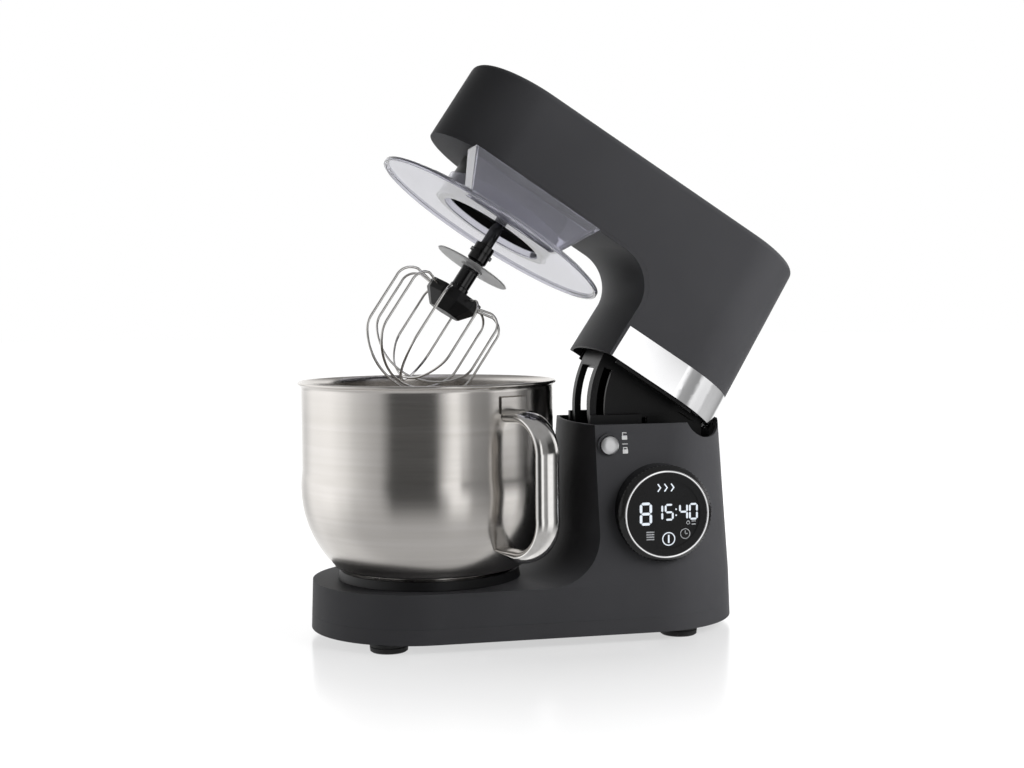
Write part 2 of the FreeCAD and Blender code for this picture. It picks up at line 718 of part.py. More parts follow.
def dial_carrier():
    """Fixed sleeve through the side wall, with a flange inside and a pedestal outside."""
    back = -side_at(DIAL_Z) + 14
    sleeve = tube(STEM_R, STEM_R - STEM_WALL, back - DIAL_FRONT_Y - 1.2, dial_axis(DIAL_FRONT_Y + 1.2), Y)
    shelf = tube(STEM_R - 1, STEM_R - STEM_WALL - 4, 2, dial_axis(DIAL_FRONT_Y + 1.2 + LENS_T), Y)
    floor = rod(STEM_R - 1, 2, dial_axis(back - 2), Y)
    lip = tube(STEM_R + 4, STEM_R - 1, 2, dial_axis(back - 2), Y)
    pedestal = tube(DIAL_SKIRT_R, STEM_R - 1, back - PEDESTAL_Y, dial_axis(PEDESTAL_Y), Y)
    wall = column_block(0, DECK_Z, COLUMN_TOP).cut(rod(STEM_R, 200, dial_axis(-200), Y))
    return fused([sleeve, shelf, floor, lip, pedestal.cut(wall)])


def display_lens():
    return rod(STEM_R - STEM_WALL - SEAT, LENS_T, dial_axis(DIAL_FRONT_Y + 1.2), Y)


def display_board():
    y = DIAL_FRONT_Y + 1.2 + LENS_T + 2
    board = rod(STEM_R - STEM_WALL - SEAT, BOARD_T, dial_axis(y), Y)
    chip = box(DIAL_X - 9, DIAL_X + 9, y + BOARD_T, y + BOARD_T + 3, DIAL_Z - 7, DIAL_Z + 7)
    return board.fuse(chip).removeSplitter()


def dial_skirt():
    """Turning ring: conical outside, running on the sleeve."""
    front = DIAL_FRONT_Y
    depth = DIAL_DEPTH
    profile = [
        (STEM_R + FREE, TRIM_T), (DIAL_R, TRIM_T), (DIAL_SKIRT_R, depth - 1), (DIAL_SKIRT_R, depth),
        (STEM_R + FREE, depth),
    ]
    ring = turned(profile)
    for k in range(40):
        angle = math.radians(9 * k)
        r = DIAL_SKIRT_R + 0.2
        ring = ring.cut(rod(0.7, depth + 4, V(r * math.cos(angle), r * math.sin(angle), -2)))
    ring.rotate(V(0, 0, 0), X, -90)
    ring.translate(dial_axis(front))
    return ring


def dial_trim():
    ring = tube(DIAL_R, DIAL_R - TRIM_W, TRIM_T, dial_axis(DIAL_FRONT_Y), Y)
    inner = tube(DIAL_R - TRIM_W, STEM_R - STEM_WALL + 1, 0.8, dial_axis(DIAL_FRONT_Y), Y)
    web = tube(DIAL_R - TRIM_W, STEM_R + FREE, TRIM_T, dial_axis(DIAL_FRONT_Y), Y)
    return fused([ring, inner, web])


def control_board():
    """Power board on the column's rear floor, with its larger parts."""
    x0 = COLUMN_FRONT + 50
    y = side_at(DIAL_Z) - 40
    board = box(x0, x0 + 70, y, y + BOARD_T, SEAM_Z + 12, SEAM_Z + 100)
    choke = rod(9, 14, V(x0 + 20, y - 14, SEAM_Z + 40), Y)
    can = rod(8, 25, V(x0 + 48, y - 25, SEAM_Z + 35), Y)
    relay = box(x0 + 10, x0 + 30, y - 15, y, SEAM_Z + 62, SEAM_Z + 78)
    sink = box(x0 + 42, x0 + 64, y - 12, y, SEAM_Z + 60, SEAM_Z + 90)
    foot_block = box(x0 + 5, x0 + 65, y - 3, y + BOARD_T + 3, FOOT_HEIGHT + TRAY_FLOOR, SEAM_Z + 12)
    return fused([board, choke, can, relay, sink, foot_block])


def cord_gland():
    wall_x = BASE_REAR - BASE_DRAFT
    flange = tube(GLAND_R + 3, 3.2, 3, V(wall_x - 0.4, 0, GLAND_Z), X)
    body = tube(GLAND_R, 3.2, 10, V(wall_x - 10, 0, GLAND_Z), X)
    wall = base_block(0, SEAM_Z, DECK_Z).cut(rod(GLAND_R + SEAT, 80, V(wall_x - 40, 0, GLAND_Z), X))
    return flange.fuse(body).cut(wall).removeSplitter()


# Head covers

def head_form(offset):
    """Closed head: full outline less the space under the nose, moved back by an offset."""
    block = head_block(NECK_BOTTOM, HEAD_TOP_Z + 30)
    block = block.cut(top_plane_cut(0))
    cutter = front_cutter(NECK_FRONT + offset, 0.0, UNDERSIDE_Z + offset, NECK_BOTTOM - 20, NECK_FILLET)
    return block.cut(cutter)


def rounded_top(block):
    top = [e for e in block.Edges if e.BoundBox.ZMin > HEAD_TOP_Z - 12]
    return block.makeFillet(TOP_EDGE_R, top)


def head_hollow(inset, drop):
    block = head_block(NECK_BOTTOM - 10, HEAD_TOP_Z + 30, inset)
    return block.cut(top_plane_cut(drop))


def head_shell():
    block = rounded_top(head_form(WALL))
    block = block.common(box(-300, 400, -200, 200, BAND_TOP, 500))
    return block.cut(head_hollow(WALL, WALL))


def cover_skin():
    return head_form(0).cut(head_form(WALL))


def head_underside():
    skin = cover_skin().common(box(-300, COVER_SPLIT_X, -200, 200, 0, 500))
    skin = skin.cut(rod(COLLAR_BORE, 40, V(0, 0, UNDERSIDE_Z - 10)))
    for x, y in head_screw_spots():
        boss = rod(BOSS_R, PLATE_Z - UNDERSIDE_Z - WALL, V(x, y, UNDERSIDE_Z + WALL))
        skin = skin.fuse(boss).cut(rod(SCREW_R + SEAT, 40, V(x, y, UNDERSIDE_Z - 10)))
    return skin.removeSplitter()


def neck_cover():
    return cover_skin().common(box(COVER_SPLIT_X, 400, -200, 200, 0, 500))


def chrome_band():
    """Bright band; its lower rear edge is rounded about the hinge so that it rolls into the column."""
    block = head_form(WALL).common(box(-300, 400, -200, 200, NECK_BOTTOM, BAND_TOP))
    rear = box(HINGE_X, HINGE_X + 60, -100, 100, NECK_BOTTOM - 5, HINGE_Z)
    rear = rear.cut(rod(REAR_LIP_R, 200, hinge_axis(-100), Y))
    return block.cut(head_hollow(BAND_WALL, WALL)).cut(rear)


def neck_ring():
    """Inner rim behind the band; its lower edge shows as a thin dark line."""
    low = NECK_BOTTOM - 3.0
    shape = head_block(NECK_BOTTOM - 10, HEAD_TOP_Z + 30, WALL + 1.2)
    shape = shape.cut(head_block(NECK_BOTTOM - 10, HEAD_TOP_Z + 30, WALL + 4.2))
    end = HINGE_X - YOKE_TAIL
    strip = shape.common(box(NECK_FRONT + 20, end, -200, 200, low, NECK_BOTTOM + 26))
    flange = head_block(NECK_BOTTOM - 10, HEAD_TOP_Z + 30, BAND_WALL)
    flange = flange.cut(head_block(NECK_BOTTOM - 10, HEAD_TOP_Z + 30, WALL + 4.2))
    flange = flange.common(box(NECK_FRONT + 20, end, -200, 200, NECK_BOTTOM + 8, NECK_BOTTOM + 12))
    return fused([strip, flange])


# Hinge yoke

def hinge_axis(y):
    return V(HINGE_X, y, HINGE_Z)


def wedge(r, y0, y1, start, end):
    """Slice of a cylinder about the hinge, from angle start to end below the -X direction."""
    steps = [start + (end - start) * k / 4 for k in range(5)]
    far = 2 * r
    points = [hinge_axis(y0)]
    for step in steps:
        angle = math.radians(step)
        points.append(hinge_axis(y0) + V(-far * math.cos(angle), 0, -far * math.sin(angle)))
    return rod(r, y1 - y0, hinge_axis(y0), Y).common(polygon_face(points).extrude(V(0, y1 - y0, 0)))


def hinge_yoke():
    """Sector with a curved, slotted front wall, two side plates and a bridge under the neck."""
    sweep = OPEN_ANGLE + 8.0
    half = YOKE_HALF
    drum = wedge(YOKE_R, -half, half, -6, sweep)
    inner = wedge(YOKE_R - YOKE_RAIL, -half + YOKE_PLATE, half - YOKE_PLATE, -12, sweep + 8)
    body = drum.cut(inner)
    opening_half = half - YOKE_STRIP
    near = HINGE_X - YOKE_R / 2
    body = body.cut(box(HINGE_X - 2 * YOKE_R, near, -opening_half, opening_half, 0, NECK_BOTTOM - 10))
    slot = wedge(YOKE_R - YOKE_RAIL, -half - 1, half + 1, 10, sweep + 8)
    slot = slot.cut(rod(YOKE_R - YOKE_RAIL - YOKE_SLOT, 4 * half, hinge_axis(-2 * half), Y))
    body = body.cut(slot)
    top = HINGE_Z + 10.5
    body = body.common(box(0, 400, -200, 200, 0, top))
    bosses = []
    for side in (-1, 1):
        y0 = min(side * half, side * (half - YOKE_PLATE))
        bosses.append(rod(YOKE_TAIL, YOKE_PLATE, hinge_axis(y0), Y))
        web = box(HINGE_X - 40, HINGE_X, y0, y0 + YOKE_PLATE, HINGE_Z - 13, BRIDGE_Z)
        bosses.append(web)
    wide = HEAD_HALF - WALL - FREE
    bridge = box(NECK_FRONT + 17, HINGE_X - EAR_HALF_X - 8, -wide, wide, BRIDGE_Z, BRIDGE_Z + BRIDGE_T)
    bridge = bridge.common(head_block(NECK_BOTTOM, HEAD_TOP_Z, WALL + 4.3))
    yoke = fused([body, bridge] + bosses)
    yoke = yoke.cut(rod(PIN_R + BUSH_WALL, 4 * half, hinge_axis(-2 * half), Y))
    return yoke.removeSplitter()


def hinge_bushes():
    bushes = []
    for side in (-1, 1):
        y0 = min(side * YOKE_HALF, side * (YOKE_HALF - YOKE_PLATE))
        bushes.append(tube(PIN_R + BUSH_WALL, PIN_R + RUN, YOKE_PLATE, hinge_axis(y0), Y))
    return Part.makeCompound(bushes)


# Motor

def motor_at(z):
    return V(MOTOR_X, 0, z)


def motor_stator():
    low = MOTOR_Z
    body = tube(MOTOR_R, ARMATURE_R + AIR_GAP, MOTOR_H, motor_at(low))
    caps = []
    for z in (low, low + MOTOR_H - 4):
        caps.append(tube(MOTOR_R - 1, 9.0, 4, motor_at(z)))
    body = fused([body] + caps)
    for k in range(8):
        angle = math.radians(45 * k)
        at = motor_at(low - 1) + V(25 * math.cos(angle), 25 * math.sin(angle), 0)
        body = body.cut(rod(4, 6, at))
        body = body.cut(rod(4, 6, at + V(0, 0, MOTOR_H - 4)))
    return body


def motor_cradle():
    """Cup and legs that stand the motor on the yoke's bridge."""
    ring = tube(MOTOR_R + 3, MOTOR_R + SEAT, 22, motor_at(MOTOR_Z - 2))
    lip = tube(MOTOR_R + 3, MOTOR_R - 3, 2, motor_at(MOTOR_Z - 2))
    parts = [ring, lip]
    low = BRIDGE_Z + BRIDGE_T
    for side in (-1, 1):
        y0, y1 = sorted((side * (MOTOR_R - 2.5), side * (MOTOR_R + 6)))
        parts.append(box(MOTOR_X - 8, MOTOR_X + 8, y0, y1, low, MOTOR_Z - 2))
    return fused(parts)


def motor_bearings():
    rings = []
    for z in (MOTOR_Z, MOTOR_Z + MOTOR_H - 4):
        rings.append(tube(9.0, COUNTER_R + RUN, 4, motor_at(z)))
    return Part.makeCompound(rings)


def motor_armature():
    low = BRIDGE_Z + BRIDGE_T + 2
    shaft = rod(COUNTER_R, BELT_Z + BELT_WIDTH - low, motor_at(low))
    core = rod(ARMATURE_R, MOTOR_H - 18, motor_at(MOTOR_Z + 9))
    for k in range(12):
        angle = math.radians(30 * k)
        at = motor_at(MOTOR_Z + 9) + V(ARMATURE_R * math.cos(angle), ARMATURE_R * math.sin(angle), 0)
        core = core.cut(rod(1.8, MOTOR_H - 18, at))
    return shaft.fuse(core).removeSplitter()


def motor_pulley():
    return tube(SMALL_PULLEY_R, COUNTER_R, BELT_WIDTH, motor_at(BELT_Z))


def motor_fan():
    z = BRIDGE_Z + BRIDGE_T + 3
    hub = tube(10, COUNTER_R, FAN_T, motor_at(z))
    plate = tube(FAN_R, COUNTER_R, 1.2, motor_at(z))
    parts = [hub, plate]
    for k in range(FAN_BLADES):
        blade = box(8, FAN_R - 1, -0.8, 0.8, z, z + FAN_T)
        blade.rotate(V(0, 0, 0), Z, 360.0 * k / FAN_BLADES)
        blade.translate(V(MOTOR_X, 0, 0))
        parts.append(blade)
    return fused(parts).cut(rod(COUNTER_R, 2 * FAN_T, motor_at(z - 2)))


def drive_belt():
    """Flat loop round both pulleys, with a small gap to each."""
    big = BIG_PULLEY_R + 0.35
    small = SMALL_PULLEY_R + 0.35
    return belt_loop(big + BELT_T, small + BELT_T).cut(belt_loop(big, small))


def belt_loop(big, small):
    span = MOTOR_X - COUNTER_X
    lean = math.asin((big - small) / span)
    sin_l = math.sin(lean)
    cos_l = math.cos(lean)
    a = V(COUNTER_X + big * sin_l, big * cos_l, BELT_Z)
    b = V(MOTOR_X + small * sin_l, small * cos_l, BELT_Z)
    a2 = V(a.x, -a.y, BELT_Z)
    b2 = V(b.x, -b.y, BELT_Z)
    edges = [
        Part.makeLine(a, b),
        Part.Arc(b, V(MOTOR_X + small, 0, BELT_Z), b2).toShape(),
        Part.makeLine(b2, a2),
        Part.Arc(a2, V(COUNTER_X - big, 0, BELT_Z), a).toShape(),
    ]
    return Part.Face(Part.Wire(edges)).extrude(V(0, 0, BELT_WIDTH))


# Gears

def gear_outline(teeth, fill, above, below, turn, z):
    """Straight-sided teeth on a pitch circle; fill is the tooth's share of the pitch."""
    pitch_r = MODULE * teeth / 2
    flank = math.tan(math.radians(20))
    tip_r = pitch_r + above * MODULE
    root_r = pitch_r - below * MODULE
    half = fill * math.pi * MODULE / 2
    tip_half = (half - above * MODULE * flank) / tip_r
    root_half = (half + below * MODULE * flank) / root_r
    points = []
    for k in range(teeth):
        mid = math.radians(turn) + 2 * math.pi * k / teeth
        for r, a in ((root_r, -root_half), (tip_r, -tip_half), (tip_r, tip_half), (root_r, root_half)):
            points.append(V(r * math.cos(mid + a), r * math.sin(mid + a), z))
    return polygon_face(points)


def ring_gear():
    ring = rod(COLLAR_BORE, RING_T, V(0, 0, RING_Z))
    space = gear_outline(RING_TEETH, 1 - TOOTH_FILL, 1.1, 0.85, -90, RING_Z)
    return ring.cut(space.extrude(V(0, 0, RING_T)))


def planet_gear():
    z = RING_Z + 1
    gear = gear_outline(PLANET_TEETH, TOOTH_FILL, 0.85, 1.1, -90, z).extrude(V(0, 0, RING_T - 2))
    gear.translate(TOOL_AT)
    return gear.cut(rod(TOOL_R, RING_T, V(TOOL_AT.x, TOOL_AT.y, z)))


def main_gear():
    gear = gear_outline(MAIN_TEETH, TOOTH_FILL, 0.85, 1.1, 0, MAIN_Z).extrude(V(0, 0, MAIN_T))
    gear = gear.cut(rod(SHAFT_R, MAIN_T, V(0, 0, MAIN_Z)))
    for k in range(6):
        angle = math.radians(60 * k + 30)
        gear = gear.cut(rod(8, MAIN_T, V(25 * math.cos(angle), 25 * math.sin(angle), MAIN_Z)))
    return gear


def pinion_shaft():
    turn = 180 + 180.0 / PINION_TEETH
    pinion = gear_outline(PINION_TEETH, TOOTH_FILL, 0.85, 1.1, turn, MAIN_Z - 1).extrude(V(0, 0, MAIN_T + 2))
    pinion.translate(V(COUNTER_X, 0, 0))
    shaft = rod(COUNTER_R, BELT_Z + BELT_WIDTH - PLATE_Z, V(COUNTER_X, 0, PLATE_Z))
    return pinion.fuse(shaft).removeSplitter()


def belt_pulley():
    wheel = tube(BIG_PULLEY_R, COUNTER_R, BELT_WIDTH, V(COUNTER_X, 0, BELT_Z))
    recess = tube(BIG_PULLEY_R - 4, 12, BELT_WIDTH / 2 - 1, V(COUNTER_X, 0, BELT_Z + BELT_WIDTH / 2 + 1))
    return wheel.cut(recess)


def head_screw_spots():
    return [(-40, 46), (-40, -46), (58, 52), (58, -52)]


def gear_plate():
    """Chassis plate of the gear train, on the lower cover's bosses."""
    plate = box(-62, COUNTER_X + 30, -56, 56, PLATE_Z, PLATE_Z + PLATE_T)
    plate = plate.common(head_block(NECK_BOTTOM, HEAD_TOP_Z, WALL + 1))
    for x, r in ((0, SHAFT_R + 7), (COUNTER_X, COUNTER_R + 5)):
        plate = plate.fuse(rod(r + 3, BEARING_T, V(x, 0, PLATE_Z)))
        plate = plate.cut(rod(r, BEARING_T, V(x, 0, PLATE_Z)))
    for x, y in head_screw_spots():
        plate = plate.cut(rod(SCREW_R + SEAT, 20, V(x, y, PLATE_Z - 5)))
    return plate.removeSplitter()


def shaft_bearings():
    rings = []
    for x, r in ((0, SHAFT_R), (COUNTER_X, COUNTER_R)):
        outer = r + (7 if x == 0 else 5)
        rings.append(tube(outer, r + RUN, BEARING_T, V(x, 0, PLATE_Z)))
    rings.append(tube(SHAFT_R + 7, SHAFT_R + RUN, 5, V(0, 0, RING_Z + RING_T + 2)))
    return Part.makeCompound(rings)


def head_screws():
    shapes = []
    for x, y in head_screw_spots():
        head = rod(SCREW_HEAD_R, 2.6, V(x, y, UNDERSIDE_Z - 2.6))
        head = head.cut(box(x - 2.6, x + 2.6, y - 0.5, y + 0.5, UNDERSIDE_Z - 3, UNDERSIDE_Z - 1.4))
        shapes.append(head.fuse(rod(SCREW_R, PLATE_Z + PLATE_T - UNDERSIDE_Z, V(x, y, UNDERSIDE_Z))))
    return Part.makeCompound(shapes)


# Planetary drive under the nose

def drive_collar():
    """Round skirt that holds the ring gear and the lower bearing."""
    top = UNDERSIDE_Z + WALL
    skirt = tube(COLLAR_R, COLLAR_BORE, UNDERSIDE_Z - COLLAR_Z, V(0, 0, COLLAR_Z))
    spigot = tube(COLLAR_BORE - SEAT, SHAFT_R + 7, 5, V(0, 0, RING_Z + RING_T + 2))
    neck = tube(COLLAR_BORE - SEAT, COLLAR_BORE - 4, top - RING_Z - RING_T - 2, V(0, 0, RING_Z + RING_T + 2))
    link = tube(COLLAR_BORE, COLLAR_BORE - 4, UNDERSIDE_Z - RING_Z - RING_T, V(0, 0, RING_Z + RING_T))
    return fused([skirt, spigot, neck, link])


def drive_shaft():
    low = RING_Z - CARRIER_DISC_T - 2
    shaft = rod(SHAFT_R, MAIN_Z + MAIN_T + 4 - low, V(0, 0, low))
    ring = tube(SHAFT_R + 2, SHAFT_R, 2, V(0, 0, MAIN_Z + MAIN_T))
    return shaft.fuse(ring).removeSplitter()


def planet_carrier():
    low = RING_Z - CARRIER_DISC_T - 2
    disc = rod(COLLAR_BORE - 1.2, CARRIER_DISC_T, V(0, 0, low))
    boss = rod(TOOL_R + 5, 5, V(TOOL_AT.x, TOOL_AT.y, low - 5))
    hub = rod(SHAFT_R + 5, RING_T, V(0, 0, low + CARRIER_DISC_T))
    body = fused([disc, boss, hub])
    body = body.cut(rod(SHAFT_R, 60, V(0, 0, low - 20)))
    return body.cut(rod(TOOL_R + RUN, 60, V(TOOL_AT.x, TOOL_AT.y, low - 20)))


# Tool

def on_tool(shape):
    shape.translate(TOOL_AT)
    return shape


def tool_shaft():
    low = DISC_Z - 8
    shaft = rod(TOOL_R, RING_Z + RING_T - 1 - low, V(0, 0, low))
    clip = tube(TOOL_R + 2.5, TOOL_R, 1.2, V(0, 0, RING_Z - 0.8))
    shaft = fused([shaft, clip])
    return on_tool(shaft.cut(pin_bore()))


def pin_bore():
    return rod(TOOL_PIN_R, 40, V(-20, 0, SLEEVE_TOP - 8), X)


def tool_pin():
    half = SLEEVE_COLLAR_R + 1.5
    return on_tool(rod(TOOL_PIN_R, 2 * half, V(-half, 0, SLEEVE_TOP - 8), X))


def whisk_sleeve():
    collar_low = SLEEVE_TOP - SLEEVE_COLLAR_H
    profile = [
        (TOOL_R + SEAT, SLEEVE_TOP), (SLEEVE_COLLAR_R, SLEEVE_TOP), (SLEEVE_COLLAR_R, collar_low),
        (SLEEVE_R, collar_low - 2), (SLEEVE_R, HUB_TOP), (0, HUB_TOP), (0, DISC_Z - 9),
        (TOOL_R + SEAT, DISC_Z - 9),
    ]
    return on_tool(turned(profile).cut(pin_bore()))


def whisk_disc():
    disc = tube(DISC_R, SLEEVE_R, DISC_T, V(0, 0, DISC_Z - DISC_T / 2))
    return on_tool(disc)


def hub_ring(apothem, z):
    """Outline with one flat for each wire end."""
    count = 2 * WIRE_LOOPS
    r = apothem / math.cos(math.pi / count)
    points = []
    for k in range(count + 1):
        angle = 2 * math.pi * (k + 0.5) / count
        points.append(V(r * math.cos(angle), r * math.sin(angle), z))
    return Part.makePolygon(points)


def whisk_hub():
    rim_low = HUB_TOP - HUB_RIM_H
    rim = Part.Face(hub_ring(HUB_R, rim_low)).extrude(V(0, 0, HUB_RIM_H))
    cone = Part.makeLoft([hub_ring(HUB_LOW_R, HUB_TOP - HUB_H), hub_ring(HUB_R, rim_low)], True, True)
    return on_tool(rim.fuse(cone).removeSplitter()).cut(whisk_wires())


def ring_point(centre, radius, angle):
    """Point of a circle in the XZ plane, at an angle below the X direction."""
    return centre + V(radius * math.cos(angle), 0, -radius * math.sin(angle))


def wire_path(lift):
    """Half of one loop in the XZ plane, from the hub to the bottom."""
    start_z = HUB_TOP - HUB_RIM_H / 2
    bottom = WIRE_BOTTOM + lift
    shoulder_z = start_z + 3.0
    belly_z = bottom + WIRE_BELLY_H
    turn = WIRE_MAX_R - WIRE_SHOULDER_R
    drop = 16.0
    shoulder = V(WIRE_SHOULDER_R - 8, 0, shoulder_z)
    over = V(WIRE_SHOULDER_R + turn * 0.35, 0, shoulder_z - drop * 0.32)
    down = V(WIRE_MAX_R, 0, shoulder_z - drop)
    side = V(WIRE_MAX_R, 0, belly_z)
    span = WIRE_MAX_R - WIRE_CORNER_R
    rise = WIRE_BELLY_H - WIRE_CORNER_R
    floor_r = (span ** 2 + WIRE_BELLY_H ** 2 - WIRE_CORNER_R ** 2) / (2 * rise)
    corner_at = V(span, 0, belly_z)
    floor_at = V(0, 0, bottom + floor_r)
    lean = math.atan2(floor_r - WIRE_BELLY_H, span)
    return [
        Part.makeLine(V(HUB_R, 0, start_z), shoulder),
        Part.Arc(shoulder, over, down).toShape(),
        Part.makeLine(down, side),
        Part.Arc(side, ring_point(corner_at, WIRE_CORNER_R, lean / 2),
                 ring_point(corner_at, WIRE_CORNER_R, lean)).toShape(),
        Part.Arc(ring_point(floor_at, floor_r, lean), ring_point(floor_at, floor_r, (lean + math.pi / 2) / 2),
                 V(0, 0, bottom)).toShape(),
    ]


def whisk_wires():
    """Loops that cross below each other at the bottom."""
    loops = []
    for k in range(WIRE_LOOPS):
        half = wire_path(k * WIRE_STEP)
        other = [edge.mirror(V(0, 0, 0), X) for edge in half]
        path = Part.Wire(Part.__sortEdges__(half + other))
        start = half[0].Vertexes[0].Point
        tangent = half[0].tangentAt(half[0].FirstParameter)
        ring = Part.Wire(Part.makeCircle(WIRE_R, start, tangent))
        loop = path.makePipeShell([ring], True, True)
        loop.rotate(V(0, 0, 0), Z, 180.0 * k / WIRE_LOOPS)
        loops.append(loop)
    return on_tool(Part.makeCompound(loops))


# Splash guard

def chute_form(inset):
    def ring(half_x, out_y, in_y, z):
        x = half_x - inset
        y0 = out_y + inset
        y1 = in_y - inset
        return Part.makePolygon([V(-x, y0, z), V(x, y0, z), V(x, y1, z), V(-x, y1, z), V(-x, y0, z)])
    low = GUARD_Z - (inset > 0) * 1.0
    high = CHUTE_TOP_Z + (inset > 0) * 0.5
    rings = [ring(CHUTE_BOTTOM_HALF, CHUTE_OUT_Y, CHUTE_IN_Y, low)]
    rings.append(ring(CHUTE_TOP_HALF, CHUTE_OUT_Y - CHUTE_FLARE_Y, CHUTE_IN_Y, high))
    return Part.makeLoft(rings, True, True)


def splash_guard():
    top = GUARD_Z + GUARD_T
    profile = [
        (GUARD_HOLE_R, GUARD_Z), (GUARD_R - 4, GUARD_Z), (GUARD_R - GUARD_T, GUARD_Z - 1.5),
        (GUARD_R - GUARD_T, GUARD_Z - 2.5), (GUARD_R, GUARD_Z - 2.5), (GUARD_R, GUARD_Z + 1),
        (GUARD_R - 3, top),
        (COLLAR_R + FREE + GUARD_T, top), (COLLAR_R + FREE + GUARD_T, COLLAR_Z + 16),
        (COLLAR_R + SEAT, COLLAR_Z + 16), (COLLAR_R + SEAT, COLLAR_Z - SEAT), (GUARD_HOLE_R, COLLAR_Z - SEAT),
    ]
    disc = turned(profile)
    guard = disc.fuse(chute_form(0))
    return guard.cut(chute_form(GUARD_T)).removeSplitter()


# Assembly

def swing_open(shape):
    shape.rotate(hinge_axis(0), Y, OPEN_ANGLE)
    return shape


STANDING = {
    "base_housing": base_housing,
    "base_plate": base_plate,
    "base_screws": base_screws,
    "bowl_socket": bowl_socket,
    "hinge_carrier": hinge_carrier,
    "carrier_screws": carrier_screws,
    "hinge_pin": hinge_pin,
    "pin_clips": pin_clips,
    "button_bezel": button_bezel,
    "button_cap": button_cap,
    "latch_bolt": latch_bolt,
    "latch_spring": latch_spring,
    "dial_carrier": dial_carrier,
    "display_lens": display_lens,
    "display_board": display_board,
    "dial_skirt": dial_skirt,
    "dial_trim": dial_trim,
    "control_board": control_board,
    "cord_gland": cord_gland,
    "bowl_shell": bowl_shell,
    "bowl_handle": bowl_handle,
    "bowl_foot": bowl_foot,
}

SWINGING = {
    "head_shell": head_shell,
    "head_underside": head_underside,
    "neck_cover": neck_cover,
    "chrome_band": chrome_band,
    "neck_ring": neck_ring,
    "hinge_yoke": hinge_yoke,
    "hinge_bushes": hinge_bushes,
    "motor_stator": motor_stator,
    "motor_cradle": motor_cradle,
    "motor_bearings": motor_bearings,
    "motor_armature": motor_armature,
    "motor_pulley": motor_pulley,
    "motor_fan": motor_fan,
    "drive_belt": drive_belt,
    "gear_plate": gear_plate,
    "shaft_bearings": shaft_bearings,
    "belt_pulley": belt_pulley,
    "pinion_shaft": pinion_shaft,
    "main_gear": main_gear,
    "drive_shaft": drive_shaft,
    "planet_carrier": planet_carrier,
    "ring_gear": ring_gear,
    "planet_gear": planet_gear,
    "drive_collar": drive_collar,
    "head_screws": head_screws,
    "splash_guard": splash_guard,
    "tool_shaft": tool_shaft,
    "tool_pin": tool_pin,
    "whisk_sleeve": whisk_sleeve,
    "whisk_disc": whisk_disc,
    "whisk_hub": whisk_hub,
    "whisk_wires": whisk_wires,
}


def build():
    nodes = {name: make() for name, make in STANDING.items()}
    for name, (x, y) in foot_spots().items():
        nodes[name] = foot(x, y)
    for name, make in SWINGING.items():
        nodes[name] = swing_open(make())
    return nodes


def centre_shift(nodes):
    """Move that puts the middle of the part's box over the origin."""
    whole = FreeCAD.BoundBox()
    for shape in nodes.values():
        whole.add(shape.optimalBoundingBox(True, False))
    return V(-whole.Center.x, -whole.Center.y, -whole.ZMin)


def main():
    os.makedirs("parts", exist_ok=True)
    nodes = build()
    shift = centre_shift(nodes)
    print("shift of the origin", round(shift.x, 3), round(shift.y, 3), round(shift.z, 3))
    for name, shape in nodes.items():
        shape.translate(shift)
        shape.exportStep("parts/%s.step" % name)
        solids = shape.Solids
        volume = sum(s.Volume for s in solids) / 1000
        print(name, len(solids), "solid(s)", round(volume, 2), "cm3", shape.isValid())


main()
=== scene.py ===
"""Stand mixer with a tilting head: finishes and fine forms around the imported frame."""
import cmath
import json
import math

import bmesh
import bpy
from bpy.props import FloatProperty, FloatVectorProperty, IntProperty
from mathutils import Matrix, Vector
from mathutils.bvhtree import BVHTree


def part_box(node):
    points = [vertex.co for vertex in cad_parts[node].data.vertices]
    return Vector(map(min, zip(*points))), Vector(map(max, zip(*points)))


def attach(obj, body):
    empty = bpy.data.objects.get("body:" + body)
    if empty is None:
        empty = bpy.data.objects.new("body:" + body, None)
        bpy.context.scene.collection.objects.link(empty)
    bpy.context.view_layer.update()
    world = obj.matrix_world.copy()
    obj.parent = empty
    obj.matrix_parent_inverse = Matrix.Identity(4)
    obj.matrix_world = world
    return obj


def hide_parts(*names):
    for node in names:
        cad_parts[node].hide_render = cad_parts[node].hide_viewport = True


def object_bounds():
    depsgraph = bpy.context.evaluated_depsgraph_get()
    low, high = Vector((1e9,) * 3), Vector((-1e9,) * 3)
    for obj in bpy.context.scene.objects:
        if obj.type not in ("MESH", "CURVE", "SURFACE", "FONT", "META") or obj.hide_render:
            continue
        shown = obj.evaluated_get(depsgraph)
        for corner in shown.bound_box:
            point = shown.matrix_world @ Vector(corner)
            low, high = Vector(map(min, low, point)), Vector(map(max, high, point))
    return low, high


bl_info = {
    "name": "Stand mixer",
    "version": (1, 0, 0),
    "blender": (4, 5, 0),
    "location": "3D View > Sidebar > Mixer",
    "description": "Finishes and fine forms of a stand mixer, built around its packed frame",
    "category": "Object",
}

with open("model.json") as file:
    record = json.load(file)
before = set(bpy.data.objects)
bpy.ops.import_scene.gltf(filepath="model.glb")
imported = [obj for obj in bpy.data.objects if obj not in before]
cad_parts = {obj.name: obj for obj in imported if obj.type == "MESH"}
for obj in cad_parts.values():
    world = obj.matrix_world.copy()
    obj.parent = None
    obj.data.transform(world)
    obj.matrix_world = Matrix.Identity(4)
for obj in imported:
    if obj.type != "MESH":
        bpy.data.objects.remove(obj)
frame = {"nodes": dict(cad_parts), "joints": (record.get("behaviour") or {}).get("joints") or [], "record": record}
NODES = frame["nodes"]
JOINTS = {joint["name"]: joint for joint in frame["joints"]}
CAD_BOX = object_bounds()

